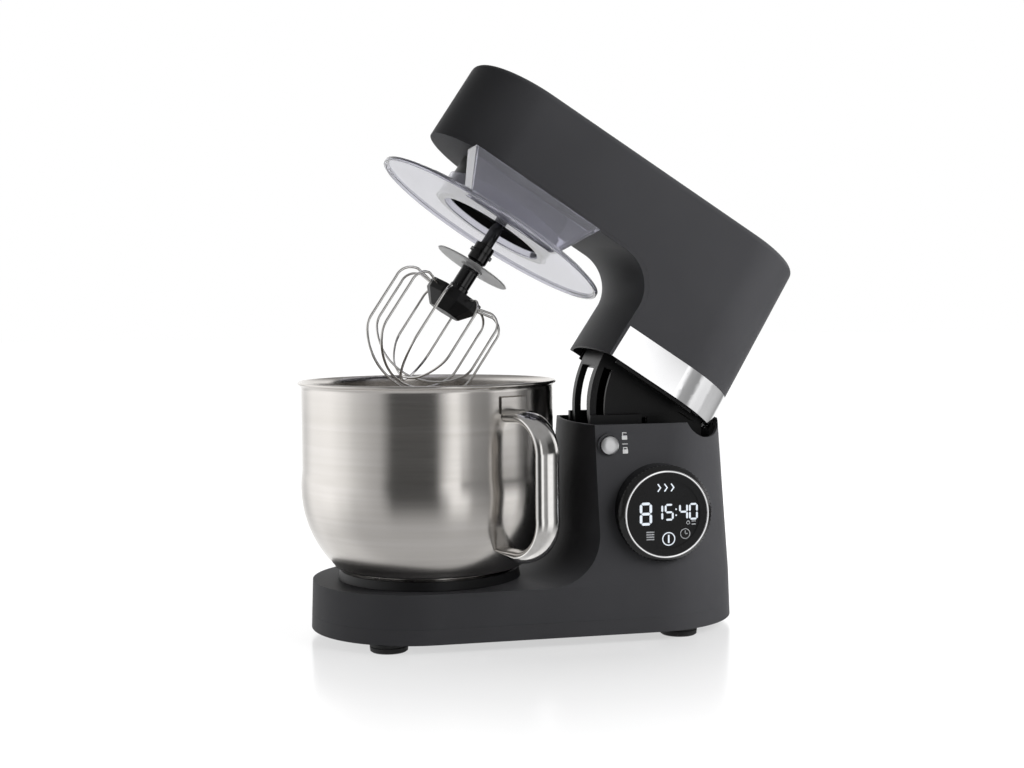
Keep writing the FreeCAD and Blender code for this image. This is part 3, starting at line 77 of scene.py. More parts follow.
MM = 0.001
TO_M = Matrix.Scale(MM, 4)
TO_MM = Matrix.Scale(1 / MM, 4)
FULL_TURN = 2 * math.pi
# Edges that turn more than this stay sharp, in degrees
SHARP = 35.0

X = Vector((1, 0, 0))
Y = Vector((0, 1, 0))
Z = Vector((0, 0, 1))


def placed(origin, z_axis, x_axis):
    """Matrix that stands a piece made along Z on a point of the frame."""
    z_axis = Vector(z_axis).normalized()
    x_axis = Vector(x_axis).normalized()
    y_axis = z_axis.cross(x_axis)
    turn = Matrix((x_axis, y_axis, z_axis)).transposed()
    return Matrix.Translation(Vector(origin)) @ turn.to_4x4()


# Axes of the frame that pieces are built on
BOWL_AXIS = Vector(JOINTS["bowl_twist"]["pos_m"]) * Vector((1, 1, 0))
TOOL_DIR = Vector(JOINTS["tool_spin"]["axis"])
TOOL = placed(JOINTS["tool_spin"]["pos_m"], TOOL_DIR, Y.cross(TOOL_DIR))
DIAL = placed(JOINTS["dial_turn"]["pos_m"], -Y, X)
BOWL = Matrix.Translation(BOWL_AXIS)


def reach(node, matrix, band=None):
    """Lowest and highest point along an axis and largest radius about it, in mm, all over or in a band."""
    back = matrix.inverted()
    points = [back @ v.co for v in NODES[node].data.vertices]
    if band:
        points = [p for p in points if band[0] * MM <= p.z <= band[1] * MM]
    low = min(p.z for p in points)
    high = max(p.z for p in points)
    radius = max(math.hypot(p.x, p.y) for p in points)
    return low / MM, high / MM, radius / MM


def linear(hex_colour):
    """Linear RGBA of an sRGB hex colour."""
    channels = [int(hex_colour[i:i + 2], 16) / 255 for i in (1, 3, 5)]
    return tuple(c / 12.92 if c <= 0.04045 else ((c + 0.055) / 1.055) ** 2.4 for c in channels) + (1.0,)


# Settings that a user would change

class StageSettings(bpy.types.PropertyGroup):
    """Camera."""
    azimuth: FloatProperty(name="Azimuth", description="Camera's place round the bowl",
                           default=math.radians(-9.51), subtype="ANGLE")
    distance: FloatProperty(name="Distance", description="Camera to bowl axis", default=1.29671,
                            unit="LENGTH")
    height: FloatProperty(name="Height", description="Camera above the table", default=0.28534,
                          unit="LENGTH")
    pan: FloatProperty(name="Pan", description="Turn away from the bowl's axis", default=math.radians(-3.34),
                       subtype="ANGLE")
    pitch: FloatProperty(name="Pitch", description="Downward tilt", default=math.radians(2.83),
                         subtype="ANGLE")
    roll: FloatProperty(name="Roll", description="Turn of the picture", default=math.radians(-0.48),
                        subtype="ANGLE")
    lens: FloatProperty(name="Lens", description="Focal length on a 36 mm sensor", default=51.0)


class CoverSettings(bpy.types.PropertyGroup):
    """Moulded covers of base, column and head."""
    edge: FloatProperty(name="Edge radius", description="Softened edges of the mouldings, in mm", default=1.2)
    colour: FloatVectorProperty(name="Colour", description="Soft-touch covers", subtype="COLOR", size=4,
                                default=linear("#3a3a3c"))


class BowlSettings(bpy.types.PropertyGroup):
    """Steel bowl and its handle."""
    wall: FloatProperty(name="Wall", description="Sheet thickness in mm", default=1.2)
    rim_roll: FloatProperty(name="Rim roll", description="Radius of the rolled rim in mm", default=1.5)
    handle_width: FloatProperty(name="Handle width", description="Across the strap, in mm", default=25.0)
    handle_thickness: FloatProperty(name="Handle thickness", description="Through the strap, in mm",
                                    default=12.0)
    tab_rise: FloatProperty(name="Tab", description="Height of the tab above the strap, in mm", default=11.0)
    handle_azimuth: FloatProperty(name="Handle azimuth", description="Handle's place round the bowl",
                                  default=math.radians(-60), subtype="ANGLE")


class GuardSettings(bpy.types.PropertyGroup):
    """Clear splash guard."""
    edge: FloatProperty(name="Edge radius", description="Rounded edges in mm", default=0.8)
    colour: FloatVectorProperty(name="Smoke", description="Tint of the clear plastic", subtype="COLOR",
                                size=4, default=linear("#dcdce6"))


class WhiskSettings(bpy.types.PropertyGroup):
    """Wire whisk."""
    wire: FloatProperty(name="Wire", description="Wire diameter in mm", default=2.3)
    loops: IntProperty(name="Loops", description="Number of wire loops", default=5)
    belly: FloatProperty(name="Belly", description="Height of the rounded bottom in mm", default=38.0)
    corner: FloatProperty(name="Corner", description="Radius where the bottom begins, in mm", default=22.0)
    shrink: FloatProperty(name="Shrink", description="Share of its height each loop is shorter than the last",
                          default=0.031)


class DialSettings(bpy.types.PropertyGroup):
    """Display and the ring that turns round it."""
    ribs: IntProperty(name="Ribs", description="Grip ribs round the dial", default=72)
    digit: FloatProperty(name="Digit", description="Height of the small digits in mm", default=13.5)
    lit: FloatVectorProperty(name="Lit", description="Colour of lit marks", subtype="COLOR", size=4,
                             default=linear("#eef6ff"))


class FootSettings(bpy.types.PropertyGroup):
    """Rubber feet."""
    treads: IntProperty(name="Treads", description="Grip lugs under each foot", default=12)


# Node and material helpers

# Part of the noise's range that a grain uses
GRAIN_LOW = 0.3
GRAIN_HIGH = 0.7


def add_node(tree, kind, inputs=None, **settings):
    """Add one node with its settings; an input is a value or an output to link."""
    node = tree.nodes.new(kind)
    for key, value in settings.items():
        setattr(node, key, value)
    for key, value in (inputs or {}).items():
        if isinstance(value, bpy.types.NodeSocket):
            tree.links.new(value, node.inputs[key])
        else:
            node.inputs[key].default_value = value
    return node


def new_material(name):
    material = bpy.data.materials.new(name)
    material.use_nodes = True
    material.node_tree.nodes.clear()
    return material, material.node_tree


def finish_material(tree, **inputs):
    named = {key.replace("_", " "): value for key, value in inputs.items()}
    shader = add_node(tree, "ShaderNodeBsdfPrincipled", named)
    add_node(tree, "ShaderNodeOutputMaterial", {"Surface": shader.outputs["BSDF"]})


def grain(tree, size_mm, stretch=(1, 1, 1), detail=3.0):
    """Noise on object coordinates with features of a real size."""
    place = add_node(tree, "ShaderNodeTexCoord")
    scale = Vector(stretch) / (size_mm * MM)
    mapped = add_node(tree, "ShaderNodeMapping", {"Vector": place.outputs["Object"], "Scale": scale})
    inputs = {"Vector": mapped.outputs[0], "Scale": 1.0, "Detail": detail}
    return add_node(tree, "ShaderNodeTexNoise", inputs).outputs["Fac"]


def spread(tree, source, low, high, start=GRAIN_LOW, end=GRAIN_HIGH):
    """Turn a grain, or another source between two limits, into a range of values."""
    inputs = {"Value": source, "From Min": start, "From Max": end, "To Min": low, "To Max": high}
    return add_node(tree, "ShaderNodeMapRange", inputs).outputs["Result"]


def tinted(tree, source, dark, light):
    """Blend between two near colours by a grain."""
    ramp = add_node(tree, "ShaderNodeValToRGB", {"Fac": source})
    first, last = ramp.color_ramp.elements
    first.position = GRAIN_LOW
    first.color = dark
    last.position = GRAIN_HIGH
    last.color = light
    return ramp.outputs["Color"]


def bumped(tree, source, height_mm, strength):
    inputs = {"Height": source, "Distance": height_mm * MM, "Strength": strength}
    return add_node(tree, "ShaderNodeBump", inputs).outputs["Normal"]


def shaded(colour, factor):
    return tuple(c * factor for c in colour[:3]) + (1.0,)


# Materials

def surface(name, grain_mm, tones, rough, bump=None, stretch=(1, 1, 1), detail=3.0, **more):
    """Material whose tone, roughness and relief follow one grain; a single value stays even."""
    material, tree = new_material(name)
    pattern = grain(tree, grain_mm, stretch, detail)
    colours = [linear(tone) for tone in tones]
    more["Base_Color"] = tinted(tree, pattern, *colours) if len(colours) > 1 else colours[0]
    more["Roughness"] = spread(tree, pattern, *rough) if len(rough) > 1 else rough[0]
    if bump:
        more["Normal"] = bumped(tree, pattern, *bump)
    finish_material(tree, **more)
    return material


# Finishes by slot: grain in mm, tones, roughness, and relief as a depth in mm and a strength
FINISHES = {
    # Plain moulded ABS of the inner mouldings: darker than the covers, with a satin sheen
    "base_black": dict(name="black_abs", grain_mm=1.2, tones=("#111112", "#161617"), rough=(0.36, 0.44),
                       bump=(0.03, 0.2), Specular_IOR_Level=0.28),
    # High-gloss ABS of sleeve and dial: mirror-like with faint waviness
    "gloss_black": dict(name="gloss_black_abs", grain_mm=9, tones=("#0a0a0b", "#0e0e0f"), rough=(0.1, 0.16),
                        bump=(0.05, 0.12), detail=1.0, IOR=1.53),
    # Black rubber of feet and belt: dull, slightly dusty
    "rubber_black": dict(name="moulded_rubber", grain_mm=1.5, tones=("#131313", "#1c1c1c"),
                         rough=(0.62, 0.78), bump=(0.06, 0.3)),
    # Polished stainless of handle and wires: bright with a little haze
    "polished_steel": dict(name="polished_stainless", grain_mm=5, tones=("#e2e0dd", "#eae8e6"),
                           rough=(0.09, 0.14), detail=2.0, Metallic=1.0),
    # Chrome plating on a smooth moulding: a clear mirror with faint orange peel
    "chrome": dict(name="chrome_plate", grain_mm=12, tones=("#f3f3f4",), rough=(0.04, 0.07),
                   bump=(0.02, 0.05), detail=1.0, Metallic=1.0),
    # Blasted and anodised aluminium of the button: soft, even and pale
    "button_silver": dict(name="satin_aluminium", grain_mm=0.5, tones=("#eeeeef",), rough=(0.34, 0.42),
                          bump=(0.02, 0.15), Metallic=1.0),
    # Plain turned steel of shafts, pins, screws and bearings: grey with fine tool marks
    "plain_steel": dict(name="turned_steel", grain_mm=1.0, tones=("#a5a5a4", "#bababa"), rough=(0.26, 0.4),
                        detail=4.0, Metallic=1.0),
    # Die-cast aluminium of plate, cradle and pulleys: pale with a sandy skin
    "cast_alloy": dict(name="cast_aluminium", grain_mm=1.4, tones=("#b1b2b4", "#c6c7c9"), rough=(0.42, 0.58),
                       bump=(0.08, 0.3), detail=5.0, Metallic=1.0),
    # Sintered bronze of bushes and ring gear: warm, dull and porous
    "bronze": dict(name="sintered_bronze", grain_mm=0.9, tones=("#9a7440", "#b88d52"), rough=(0.34, 0.5),
                   detail=5.0, Metallic=1.0),
    # Natural acetal of the plastic gears: waxy and slightly warm
    "gear_white": dict(name="white_acetal", grain_mm=8, tones=("#dad8cf", "#e6e4dc"), rough=(0.4,)),
    # Solder mask over glass-fibre board: faint weave under gloss
    "board_green": dict(name="circuit_board", grain_mm=1.5, tones=("#1a4a2a", "#245c36"), rough=(0.3,),
                        stretch=(1, 1, 0.3)),
    # Thin grey nylon disc: milky, lets some light through
    "clear_disc": dict(name="frosted_nylon", grain_mm=4, tones=("#c2c2c1", "#cdcdcc"), rough=(0.3, 0.4),
                       Transmission_Weight=0.55, IOR=1.45),
    # Black window of the display: deep gloss with a dark tint
    "window": dict(name="black_display_glass", grain_mm=30, tones=("#0b0b0c", "#0f0f10"), rough=(0.12, 0.16),
                   detail=1.0, Specular_IOR_Level=0.16),
    # Printed or faintly lit marks: mid grey
    "dim": dict(name="grey_pad_print", grain_mm=2, tones=("#8f9194", "#a4a6a8"), rough=(0.45,), detail=1.0),
    # Pad-printed marks on the housing: off-white and matt
    "print": dict(name="white_pad_print", grain_mm=0.8, tones=("#bdbdbd", "#cfcfcf"), rough=(0.5,)),
}
FINISHES["belt_rubber"] = FINISHES["rubber_black"]


def soft_touch_abs(colour):
    """Moulded ABS under a soft-touch coat: dark, matt, with a fine even grain and slight clouding."""
    material, tree = new_material("soft_touch_abs")
    # The moulded grain is finer than a picture dot, so it is drawn at 0.9 mm
    fine = grain(tree, 0.9)
    cloud = grain(tree, 70, detail=2.0)
    finish_material(
        tree,
        Base_Color=tinted(tree, cloud, shaded(colour, 0.94), shaded(colour, 1.05)),
        Roughness=spread(tree, fine, 0.48, 0.56),
        Specular_IOR_Level=0.12,
        Normal=bumped(tree, fine, 0.04, 0.25),
    )
    return material


def brushed_stainless():
    """Stainless sheet spun and brushed round its axis: fine level lines and stretched highlights."""
    material, tree = new_material("brushed_stainless")
    # Real brush lines are about 0.1 mm apart; they are drawn at 0.7 mm so that they show
    lines = grain(tree, 0.7, stretch=(0.012, 0.012, 1), detail=4.0)
    bands = grain(tree, 6, stretch=(0.02, 0.02, 1), detail=2.0)
    tangent = add_node(tree, "ShaderNodeTangent", direction_type="RADIAL", axis="Z")
    finish_material(
        tree,
        Base_Color=tinted(tree, bands, linear("#d9d5d0"), linear("#e0dcd8")),
        Metallic=1.0,
        Roughness=spread(tree, lines, 0.2, 0.24),
        Anisotropic=0.8,
        Anisotropic_Rotation=0.25,
        Tangent=tangent.outputs["Tangent"],
        Normal=bumped(tree, lines, 0.02, 0.05),
    )
    return material


def smoked_polycarbonate(colour):
    """Clear moulded polycarbonate with a little smoke: glassy, with bright edges."""
    material, tree = new_material("smoked_polycarbonate")
    flow = grain(tree, 25, detail=1.0)
    finish_material(
        tree,
        Base_Color=colour,
        Roughness=spread(tree, flow, 0.03, 0.07),
        IOR=1.45,
        Transmission_Weight=0.85,
        Normal=bumped(tree, flow, 0.1, 0.08),
    )
    return material


def lit_segments(colour):
    """Lit marks behind the window: even, slightly cold white."""
    material, tree = new_material("lit_segments")
    cell = grain(tree, 3, detail=1.0)
    finish_material(
        tree,
        Base_Color=linear("#202224"),
        Roughness=0.4,
        Emission_Color=tinted(tree, cell, shaded(colour, 0.9), colour),
        Emission_Strength=1.0,
    )
    return material


MATERIALS = {}


def material_named(key):
    """Each material is made once, from the settings at that time."""
    scene = bpy.context.scene
    makers = {
        "soft_black": lambda: soft_touch_abs(tuple(scene.mixer_cover.colour)),
        "brushed_steel": brushed_stainless,
        "clear_smoke": lambda: smoked_polycarbonate(tuple(scene.mixer_guard.colour)),
        "lit": lambda: lit_segments(tuple(scene.mixer_dial.lit)),
    }
    if key not in MATERIALS:
        MATERIALS[key] = makers[key]() if key in makers else surface(**FINISHES[key])
    return MATERIALS[key]


# Mesh helpers. Local sizes are in mm along Z; a matrix then stands the piece on the frame.

def shown(name, mesh, key):
    """Object for a mesh, with its material."""
    obj = bpy.data.objects.new(name, mesh)
    bpy.context.scene.collection.objects.link(obj)
    mesh.materials.clear()
    mesh.materials.append(material_named(key))
    return obj


def smooth(mesh, sharp):
    """Shade smooth between edges that turn more than an angle."""
    mesh.shade_smooth()
    mesh.set_sharp_from_angle(angle=math.radians(sharp))


def settle(obj):
    """Replace an object's modifiers by their result."""
    graph = bpy.context.evaluated_depsgraph_get()
    obj.data = bpy.data.meshes.new_from_object(obj.evaluated_get(graph))
    obj.modifiers.clear()


def rests(obj, body, slot, *nodes):
    """Tie a finished piece to its body and hide the solids it stands for; the finish slot it is given is not used.
    """
    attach(obj, body)
    if nodes:
        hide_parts(*nodes)


def as_piece(work, name, key, matrix, sharp=SHARP):
    """Object from a bmesh in mm, stood on the frame."""
    bmesh.ops.remove_doubles(work, verts=work.verts, dist=1e-4)
    bmesh.ops.recalc_face_normals(work, faces=work.faces)
    mesh = bpy.data.meshes.new(name)
    work.to_mesh(mesh)
    work.free()
    mesh.transform(matrix @ TO_M)
    smooth(mesh, sharp)
    return shown(name, mesh, key)


def dressed(node, name, body, key, edge, angle=32.0):
    """Piece in place of a solid: its copy with edges rounded and curved faces smooth."""
    mesh = NODES[node].data.copy()
    work = bmesh.new()
    work.from_mesh(mesh)
    bmesh.ops.remove_doubles(work, verts=work.verts, dist=1e-5)
    bmesh.ops.dissolve_limit(work, angle_limit=math.radians(0.4), verts=work.verts, edges=work.edges)
    work.to_mesh(mesh)
    work.free()
    obj = shown(name, mesh, key)
    mesh.shade_smooth()
    bevel = obj.modifiers.new("edge", "BEVEL")
    bevel.width = edge * MM
    bevel.segments = 3
    bevel.limit_method = "ANGLE"
    bevel.angle_limit = math.radians(angle)
    bevel.miter_outer = "MITER_ARC"
    weighted = obj.modifiers.new("normals", "WEIGHTED_NORMAL")
    weighted.keep_sharp = False
    settle(obj)
    rests(obj, body, key, node)


def arc_through(a, b, c, steps):
    """Points of the circle through three points of a plane, from a to c."""
    a, b, c = (complex(*point) for point in (a, b, c))
    ratio = (c - a) / (b - a)
    centre = a + (b - a) * (ratio - abs(ratio) ** 2) / (2j * ratio.imag)
    mid, end = (cmath.phase((point - centre) / (a - centre)) % FULL_TURN for point in (b, c))
    if mid > end:
        end -= FULL_TURN
    points = [centre + (a - centre) * cmath.exp(1j * end * k / steps) for k in range(steps + 1)]
    return [(point.real, point.imag) for point in points]


def rounded(points, radius, steps=5):
    """Closed outline with each corner rounded, as far as its sides allow."""
    result = []
    count = len(points)
    for k in range(count):
        here = Vector(points[k])
        before = Vector(points[k - 1]) - here
        after = Vector(points[(k + 1) % count]) - here
        cut = min(radius, 0.49 * before.length, 0.49 * after.length)
        a = here + before.normalized() * cut
        b = here + after.normalized() * cut
        for j in range(steps + 1):
            t = j / steps
            p = a * (1 - t) ** 2 + here * 2 * t * (1 - t) + b * t ** 2
            result.append((p.x, p.y))
    return result


def skin(work, rows, ring=True, loop=False):
    """Faces between neighbouring rows; a ring closes each row, a loop joins the last row to the first."""
    pairs = list(zip(rows, rows[1:]))
    if loop:
        pairs.append((rows[-1], rows[0]))
    for a, b in pairs:
        count = max(len(a), len(b))
        for k in range(count if ring else count - 1):
            n = (k + 1) % count
            corners = [a[k % len(a)], a[n % len(a)], b[n % len(b)], b[k % len(b)]]
            unique = list(dict.fromkeys(corners))
            if len(unique) > 2:
                work.faces.new(unique)


def circle(work, radius, z, steps, centre=(0, 0)):
    """Row of points round a level circle; one point where it has no radius."""
    if radius == 0:
        return [work.verts.new((0, 0, z))]
    angles = [FULL_TURN * k / steps for k in range(steps)]
    x, y = centre
    return [work.verts.new((x + radius * math.cos(t), y + radius * math.sin(t), z)) for t in angles]


def lathe(name, body, key, profile, matrix, *nodes, slot=None, steps=96, closed=True, sharp=SHARP):
    """Turned piece from (radius, height) points; closed makes a ring, else it runs from axis to axis."""
    work = bmesh.new()
    skin(work, [circle(work, r, z, steps) for r, z in profile], loop=closed)
    rests(as_piece(work, name, key, matrix, sharp), body, slot or key, *nodes)


def prism(work, outline, low, high):
    """Upright block on an outline, added to a bmesh."""
    rows = [[work.verts.new((x, y, z)) for x, y in outline] for z in (low, high)]
    work.faces.new(list(reversed(rows[0])))
    work.faces.new(rows[1])
    skin(work, rows)


def hoop(work, centre, inner, outer, low, high, steps=40):
    """Flat ring, added to a bmesh."""
    corners = ((inner, low), (outer, low), (outer, high), (inner, high))
    skin(work, [circle(work, r, z, steps, centre) for r, z in corners], loop=True)


def ellipse(half_w, half_t, steps):
    angles = [FULL_TURN * k / steps for k in range(steps)]
    return [(half_w * math.cos(t), half_t * math.sin(t)) for t in angles]


def sweep(work, path, section, side, full=None):
    """Solid strap: a section carried along a path in a plane, its ends closed; full thins it by share."""
    rings = []
    count = len(path)
    full = full or [1.0] * count
    for k, point in enumerate(path):
        ahead = Vector(path[min(k + 1, count - 1)]) - Vector(path[max(k - 1, 0)])
        out = side.cross(ahead).normalized()
        rings.append([work.verts.new(Vector(point) + side * w + out * t * full[k]) for w, t in section])
    skin(work, rings)
    work.faces.new(rings[0])
    work.faces.new(list(reversed(rings[-1])))


# Geometry nodes: copies of one form round an axis

def ring_tree():
    """Tree that turns copies of its input about Z, each one a share shorter than the last."""
    tree = bpy.data.node_groups.new("ring_of_copies", "GeometryNodeTree")
    ports = {"Geometry": "Geometry", "Count": "Int", "Pitch": "Float", "Shrink": "Float",
             "Material": "Material"}
    for name, kind in ports.items():
        tree.interface.new_socket(name, in_out="INPUT", socket_type="NodeSocket" + kind)
    tree.interface.new_socket("Geometry", in_out="OUTPUT", socket_type="NodeSocketGeometry")
    given = add_node(tree, "NodeGroupInput").outputs
    index = add_node(tree, "GeometryNodeInputIndex").outputs[0]
    line = add_node(tree, "GeometryNodeMeshLine", {"Count": given["Count"], "Offset": (0, 0, 0)})
    turn = add_node(tree, "ShaderNodeMath", {0: index, 1: given["Pitch"]}, operation="MULTIPLY")
    angles = add_node(tree, "ShaderNodeCombineXYZ", {"Z": turn.outputs[0]})
    loss = add_node(tree, "ShaderNodeMath", {0: index, 1: given["Shrink"]}, operation="MULTIPLY")
    left = add_node(tree, "ShaderNodeMath", {0: 1.0, 1: loss.outputs[0]}, operation="SUBTRACT")
    size = add_node(tree, "ShaderNodeCombineXYZ", {"X": 1.0, "Y": 1.0, "Z": left.outputs[0]})
    copies = add_node(tree, "GeometryNodeInstanceOnPoints", {
        "Points": line.outputs["Mesh"],
        "Instance": given["Geometry"],
        "Rotation": angles.outputs[0],
        "Scale": size.outputs[0],
    })
    real = add_node(tree, "GeometryNodeRealizeInstances", {"Geometry": copies.outputs["Instances"]})
    dyed = add_node(tree, "GeometryNodeSetMaterial",
                    {"Geometry": real.outputs[0], "Material": given["Material"]})
    add_node(tree, "NodeGroupOutput", {"Geometry": dyed.outputs[0]})
    return tree


def ring_of(work, name, body, key, count, turn, matrix, *nodes, shrink=0.0):
    """Piece of copies round an axis, from one form in a bmesh in mm, stood on the frame."""
    obj = as_piece(work, name, key, TO_MM)
    tree = bpy.data.node_groups.get("ring_of_copies") or ring_tree()
    modifier = obj.modifiers.new("copies", "NODES")
    modifier.node_group = tree
    values = {"Count": count, "Pitch": turn / count, "Shrink": shrink, "Material": material_named(key)}
    for socket in tree.interface.items_tree:
        if socket.in_out == "INPUT" and socket.name in values:
            modifier[socket.identifier] = values[socket.name]
    settle(obj)
    smooth(obj.data, SHARP)
    obj.data.transform(matrix @ TO_M)
    rests(obj, body, key, *nodes)


# Covers of base, column and head

# Edges of the mouldings inside and of small rings, in mm
INNER_EDGE = 0.5
FINE_EDGE = 0.4

COVERS = {
    "base_housing": ("housing_cover", "base", "soft_black"),
    "base_plate": ("base_tray", "base", "soft_black"),
    "head_shell": ("head_cover", "head", "soft_black"),
    "head_underside": ("nose_lower_cover", "head", "soft_black"),
    "neck_cover": ("neck_front_cover", "head", "soft_black"),
    "chrome_band": ("neck_band", "head", "chrome"),
    "neck_ring": ("neck_rim", "head", "base_black"),
    "hinge_yoke": ("hinge_sector", "head", "base_black"),
    "hinge_carrier": ("hinge_frame", "base", "base_black"),
    "bowl_socket": ("bayonet_ring", "base", "base_black"),
    "cord_gland": ("cord_inlet", "base", "base_black"),
    "drive_collar": ("drive_skirt", "head", "base_black"),
    "planet_carrier": ("planet_disc", "planet_drive", "base_black"),
}


class MIXER_OT_covers(bpy.types.Operator):
    """Moulded covers with rounded edges, over their solids"""
    bl_idname = "mixer.covers"
    bl_label = "Covers"

    def execute(self, context):
        edge = context.scene.mixer_cover.edge
        for node, (name, body, key) in COVERS.items():
            width = edge if key == "soft_black" else INNER_EDGE
            dressed(node, name, body, key, width)
        return {"FINISHED"}


# Bowl. Heights are above its lowest point or below its rim, in mm.

BOWL_STRAIGHT = 86.5
BULGE_Z = 31.0
BULGE_SHARE = 0.74
FLOOR_RISE = 1.0
FLOOR_IN = 12.0
FLOOR_OUT = 9.0
WALL_STEPS = 22
RIM_STEPS = 5
LIP_STEPS = 8


def bowl_profile(settings):
    """Sheet of even wall, from the middle of the floor over the rolled rim and back inside, in mm."""
    low, high, rim_r = reach("bowl_shell", BOWL)
    wall = settings.wall
    roll = settings.rim_roll
    base_r = reach("bowl_shell", BOWL, (low - 0.1, low + 0.1))[2]
    straight = low + BOWL_STRAIGHT
    middle = (straight + high) / 2
    body_r = reach("bowl_shell", BOWL, (straight - 1, straight + 1))[2]
    bulge = base_r + BULGE_SHARE * (body_r - base_r)
    floor = low + FLOOR_RISE
    outside = [(0, floor), (base_r - FLOOR_IN, floor), (base_r - FLOOR_OUT, low)]
    outside += [(base_r - 1.5, low), (base_r, low + 0.8)]
    outside += arc_through((base_r + 0.4, low + 2), (bulge, low + BULGE_Z), (body_r, straight), WALL_STEPS)
    outside += [(body_r, middle)]
    outside += arc_through((body_r, high - 7), (body_r + 0.4, high - 4.6), (rim_r - roll, high - 2 * roll),
                           RIM_STEPS)
    lip = []
    for k in range(LIP_STEPS + 1):
        t = math.pi * (k / LIP_STEPS - 0.5)
        lip.append((rim_r - roll + roll * math.cos(t), high - roll + roll * math.sin(t)))
    inside = arc_through((rim_r - roll - 0.8, high - 0.3), (body_r + 0.5 - wall, high - 2.8),
                         (body_r - wall, high - 6.5), RIM_STEPS)
    inside += [(body_r - wall, middle)]
    inside += arc_through((body_r - wall, straight), (bulge - wall, low + BULGE_Z + 0.5),
                          (base_r - wall, floor + wall), WALL_STEPS)
    inside += [(base_r - FLOOR_IN, floor + wall), (0, floor + wall)]
    return outside + lip + inside


class MIXER_OT_bowl(bpy.types.Operator):
    """Brushed steel bowl with a rolled rim"""
    bl_idname = "mixer.bowl"
    bl_label = "Bowl"

    def execute(self, context):
        profile = bowl_profile(context.scene.mixer_bowl)
        lathe("bowl_sheet", "bowl", "brushed_steel", profile, BOWL, "bowl_shell",
              steps=160, closed=False, sharp=50)
        dressed("bowl_foot", "bowl_foot_ring", "bowl", "brushed_steel", FINE_EDGE)
        return {"FINISHED"}


# Handle: bends of the strap, share of it left at its lower end, and tab, in mm

STRAP_PROUD = 0.9
BEND_IN = 28.0
UPPER_DROP = 33.0
UPPER_MID = (8.2, 9.5)
LOWER_RISE = 44.0
LOWER_MID = (8.0, 18.0)
LOWER_LIFT = 1.5
BEND_STEPS = 14
JOINT_RISE = 5.0
TAPER = (0.85, 0.65, 0.45, 0.28)
TAB_HALF = 13.5
TAB_THICK = 1.6
TAB_TALL = 15.0
TAB_SLOPE = 1.0
TAB_STEPS = 8


def bowl_body_radius():
    """Radius of the bowl's straight wall, in mm."""
    low = reach("bowl_shell", BOWL)[0]
    return reach("bowl_shell", BOWL, (low + 80, low + 100))[2]


def handle_path(settings):
    """Middle line of the handle in its own plane, in mm, and how full the strap is at each point."""
    low, high, radius = reach("bowl_handle", BOWL)
    half = settings.handle_thickness / 2
    outer = radius - half + STRAP_PROUD
    bend = outer - BEND_IN
    top = high - settings.tab_rise - half
    path = [(bowl_body_radius() - 0.8, top), (bend - 4, top)]
    path += arc_through((bend, top), (outer - UPPER_MID[0], top - UPPER_MID[1]), (outer, top - UPPER_DROP),
                        BEND_STEPS)
    path += arc_through((outer, low + LOWER_RISE), (outer - LOWER_MID[0], low + LOWER_MID[1]),
                        (bend, low + half + LOWER_LIFT), BEND_STEPS)
    start = Vector(path[-1])
    joint_z = low + half + JOINT_RISE
    joint = Vector((reach("bowl_shell", BOWL, (joint_z - 2, joint_z + 2))[2] - 1.0, joint_z))
    full = [1.0] * len(path) + list(TAPER)
    path += [tuple(start.lerp(joint, (k + 1) / len(TAPER))) for k in range(len(TAPER))]
    return path, full


class MIXER_OT_handle(bpy.types.Operator):
    """Polished handle: strap and upper tab"""
    bl_idname = "mixer.handle"
    bl_label = "Handle"

    def execute(self, context):
        settings = context.scene.mixer_bowl
        plane = BOWL @ Matrix.Rotation(settings.handle_azimuth, 4, "Z")
        section = ellipse(settings.handle_width / 2, settings.handle_thickness / 2, steps=36)
        line, full = handle_path(settings)
        work = bmesh.new()
        sweep(work, [(r, 0, z) for r, z in line], section, Y, full)
        strap = as_piece(work, "handle_strap", "polished_steel", plane, sharp=50)
        rests(strap, "bowl", "polished_steel", "bowl_handle")
        self.tab(plane)
        return {"FINISHED"}

    def tab(self, plane):
        """Curved plate on the bowl above the strap's upper end."""
        inner = bowl_body_radius()
        outer = inner + TAB_THICK
        top = reach("bowl_handle", BOWL)[1]
        low = top - TAB_TALL
        span = TAB_HALF / inner
        angles = [span * (2 * k / TAB_STEPS - 1) for k in range(TAB_STEPS + 1)]
        work = bmesh.new()
        rows = []
        for r, z in ((inner, low), (outer, low + TAB_SLOPE), (outer, top - TAB_SLOPE), (inner, top)):
            rows.append([work.verts.new((r * math.cos(t), r * math.sin(t), z)) for t in angles])
        skin(work, rows, ring=False, loop=True)
        for end in (0, -1):
            work.faces.new([row[end] for row in rows])
        rests(as_piece(work, "handle_tab", "brushed_steel", plane), "bowl", "brushed_steel")


# Splash guard

class MIXER_OT_guard(bpy.types.Operator):
    """Clear splash guard with its filling chute"""
    bl_idname = "mixer.guard"
    bl_label = "Splash guard"

    def execute(self, context):
        dressed("splash_guard", "clear_guard", "head", "clear_smoke", context.scene.mixer_guard.edge)
        return {"FINISHED"}


# Whisk: shoulders of a wire loop, its hold in the hub and the hub's edges, in mm and degrees

SHOULDER = 13.0
SHOULDER_RISE = 3.0
SHOULDER_MID = (3.2, 2.0)
WIRE_HOLD = 2.5
HUB_EDGE = 0.9
HUB_ANGLE = 20.0
SHOULDER_STEPS = 10
CORNER_STEPS = 8
FLOOR_STEPS = 16


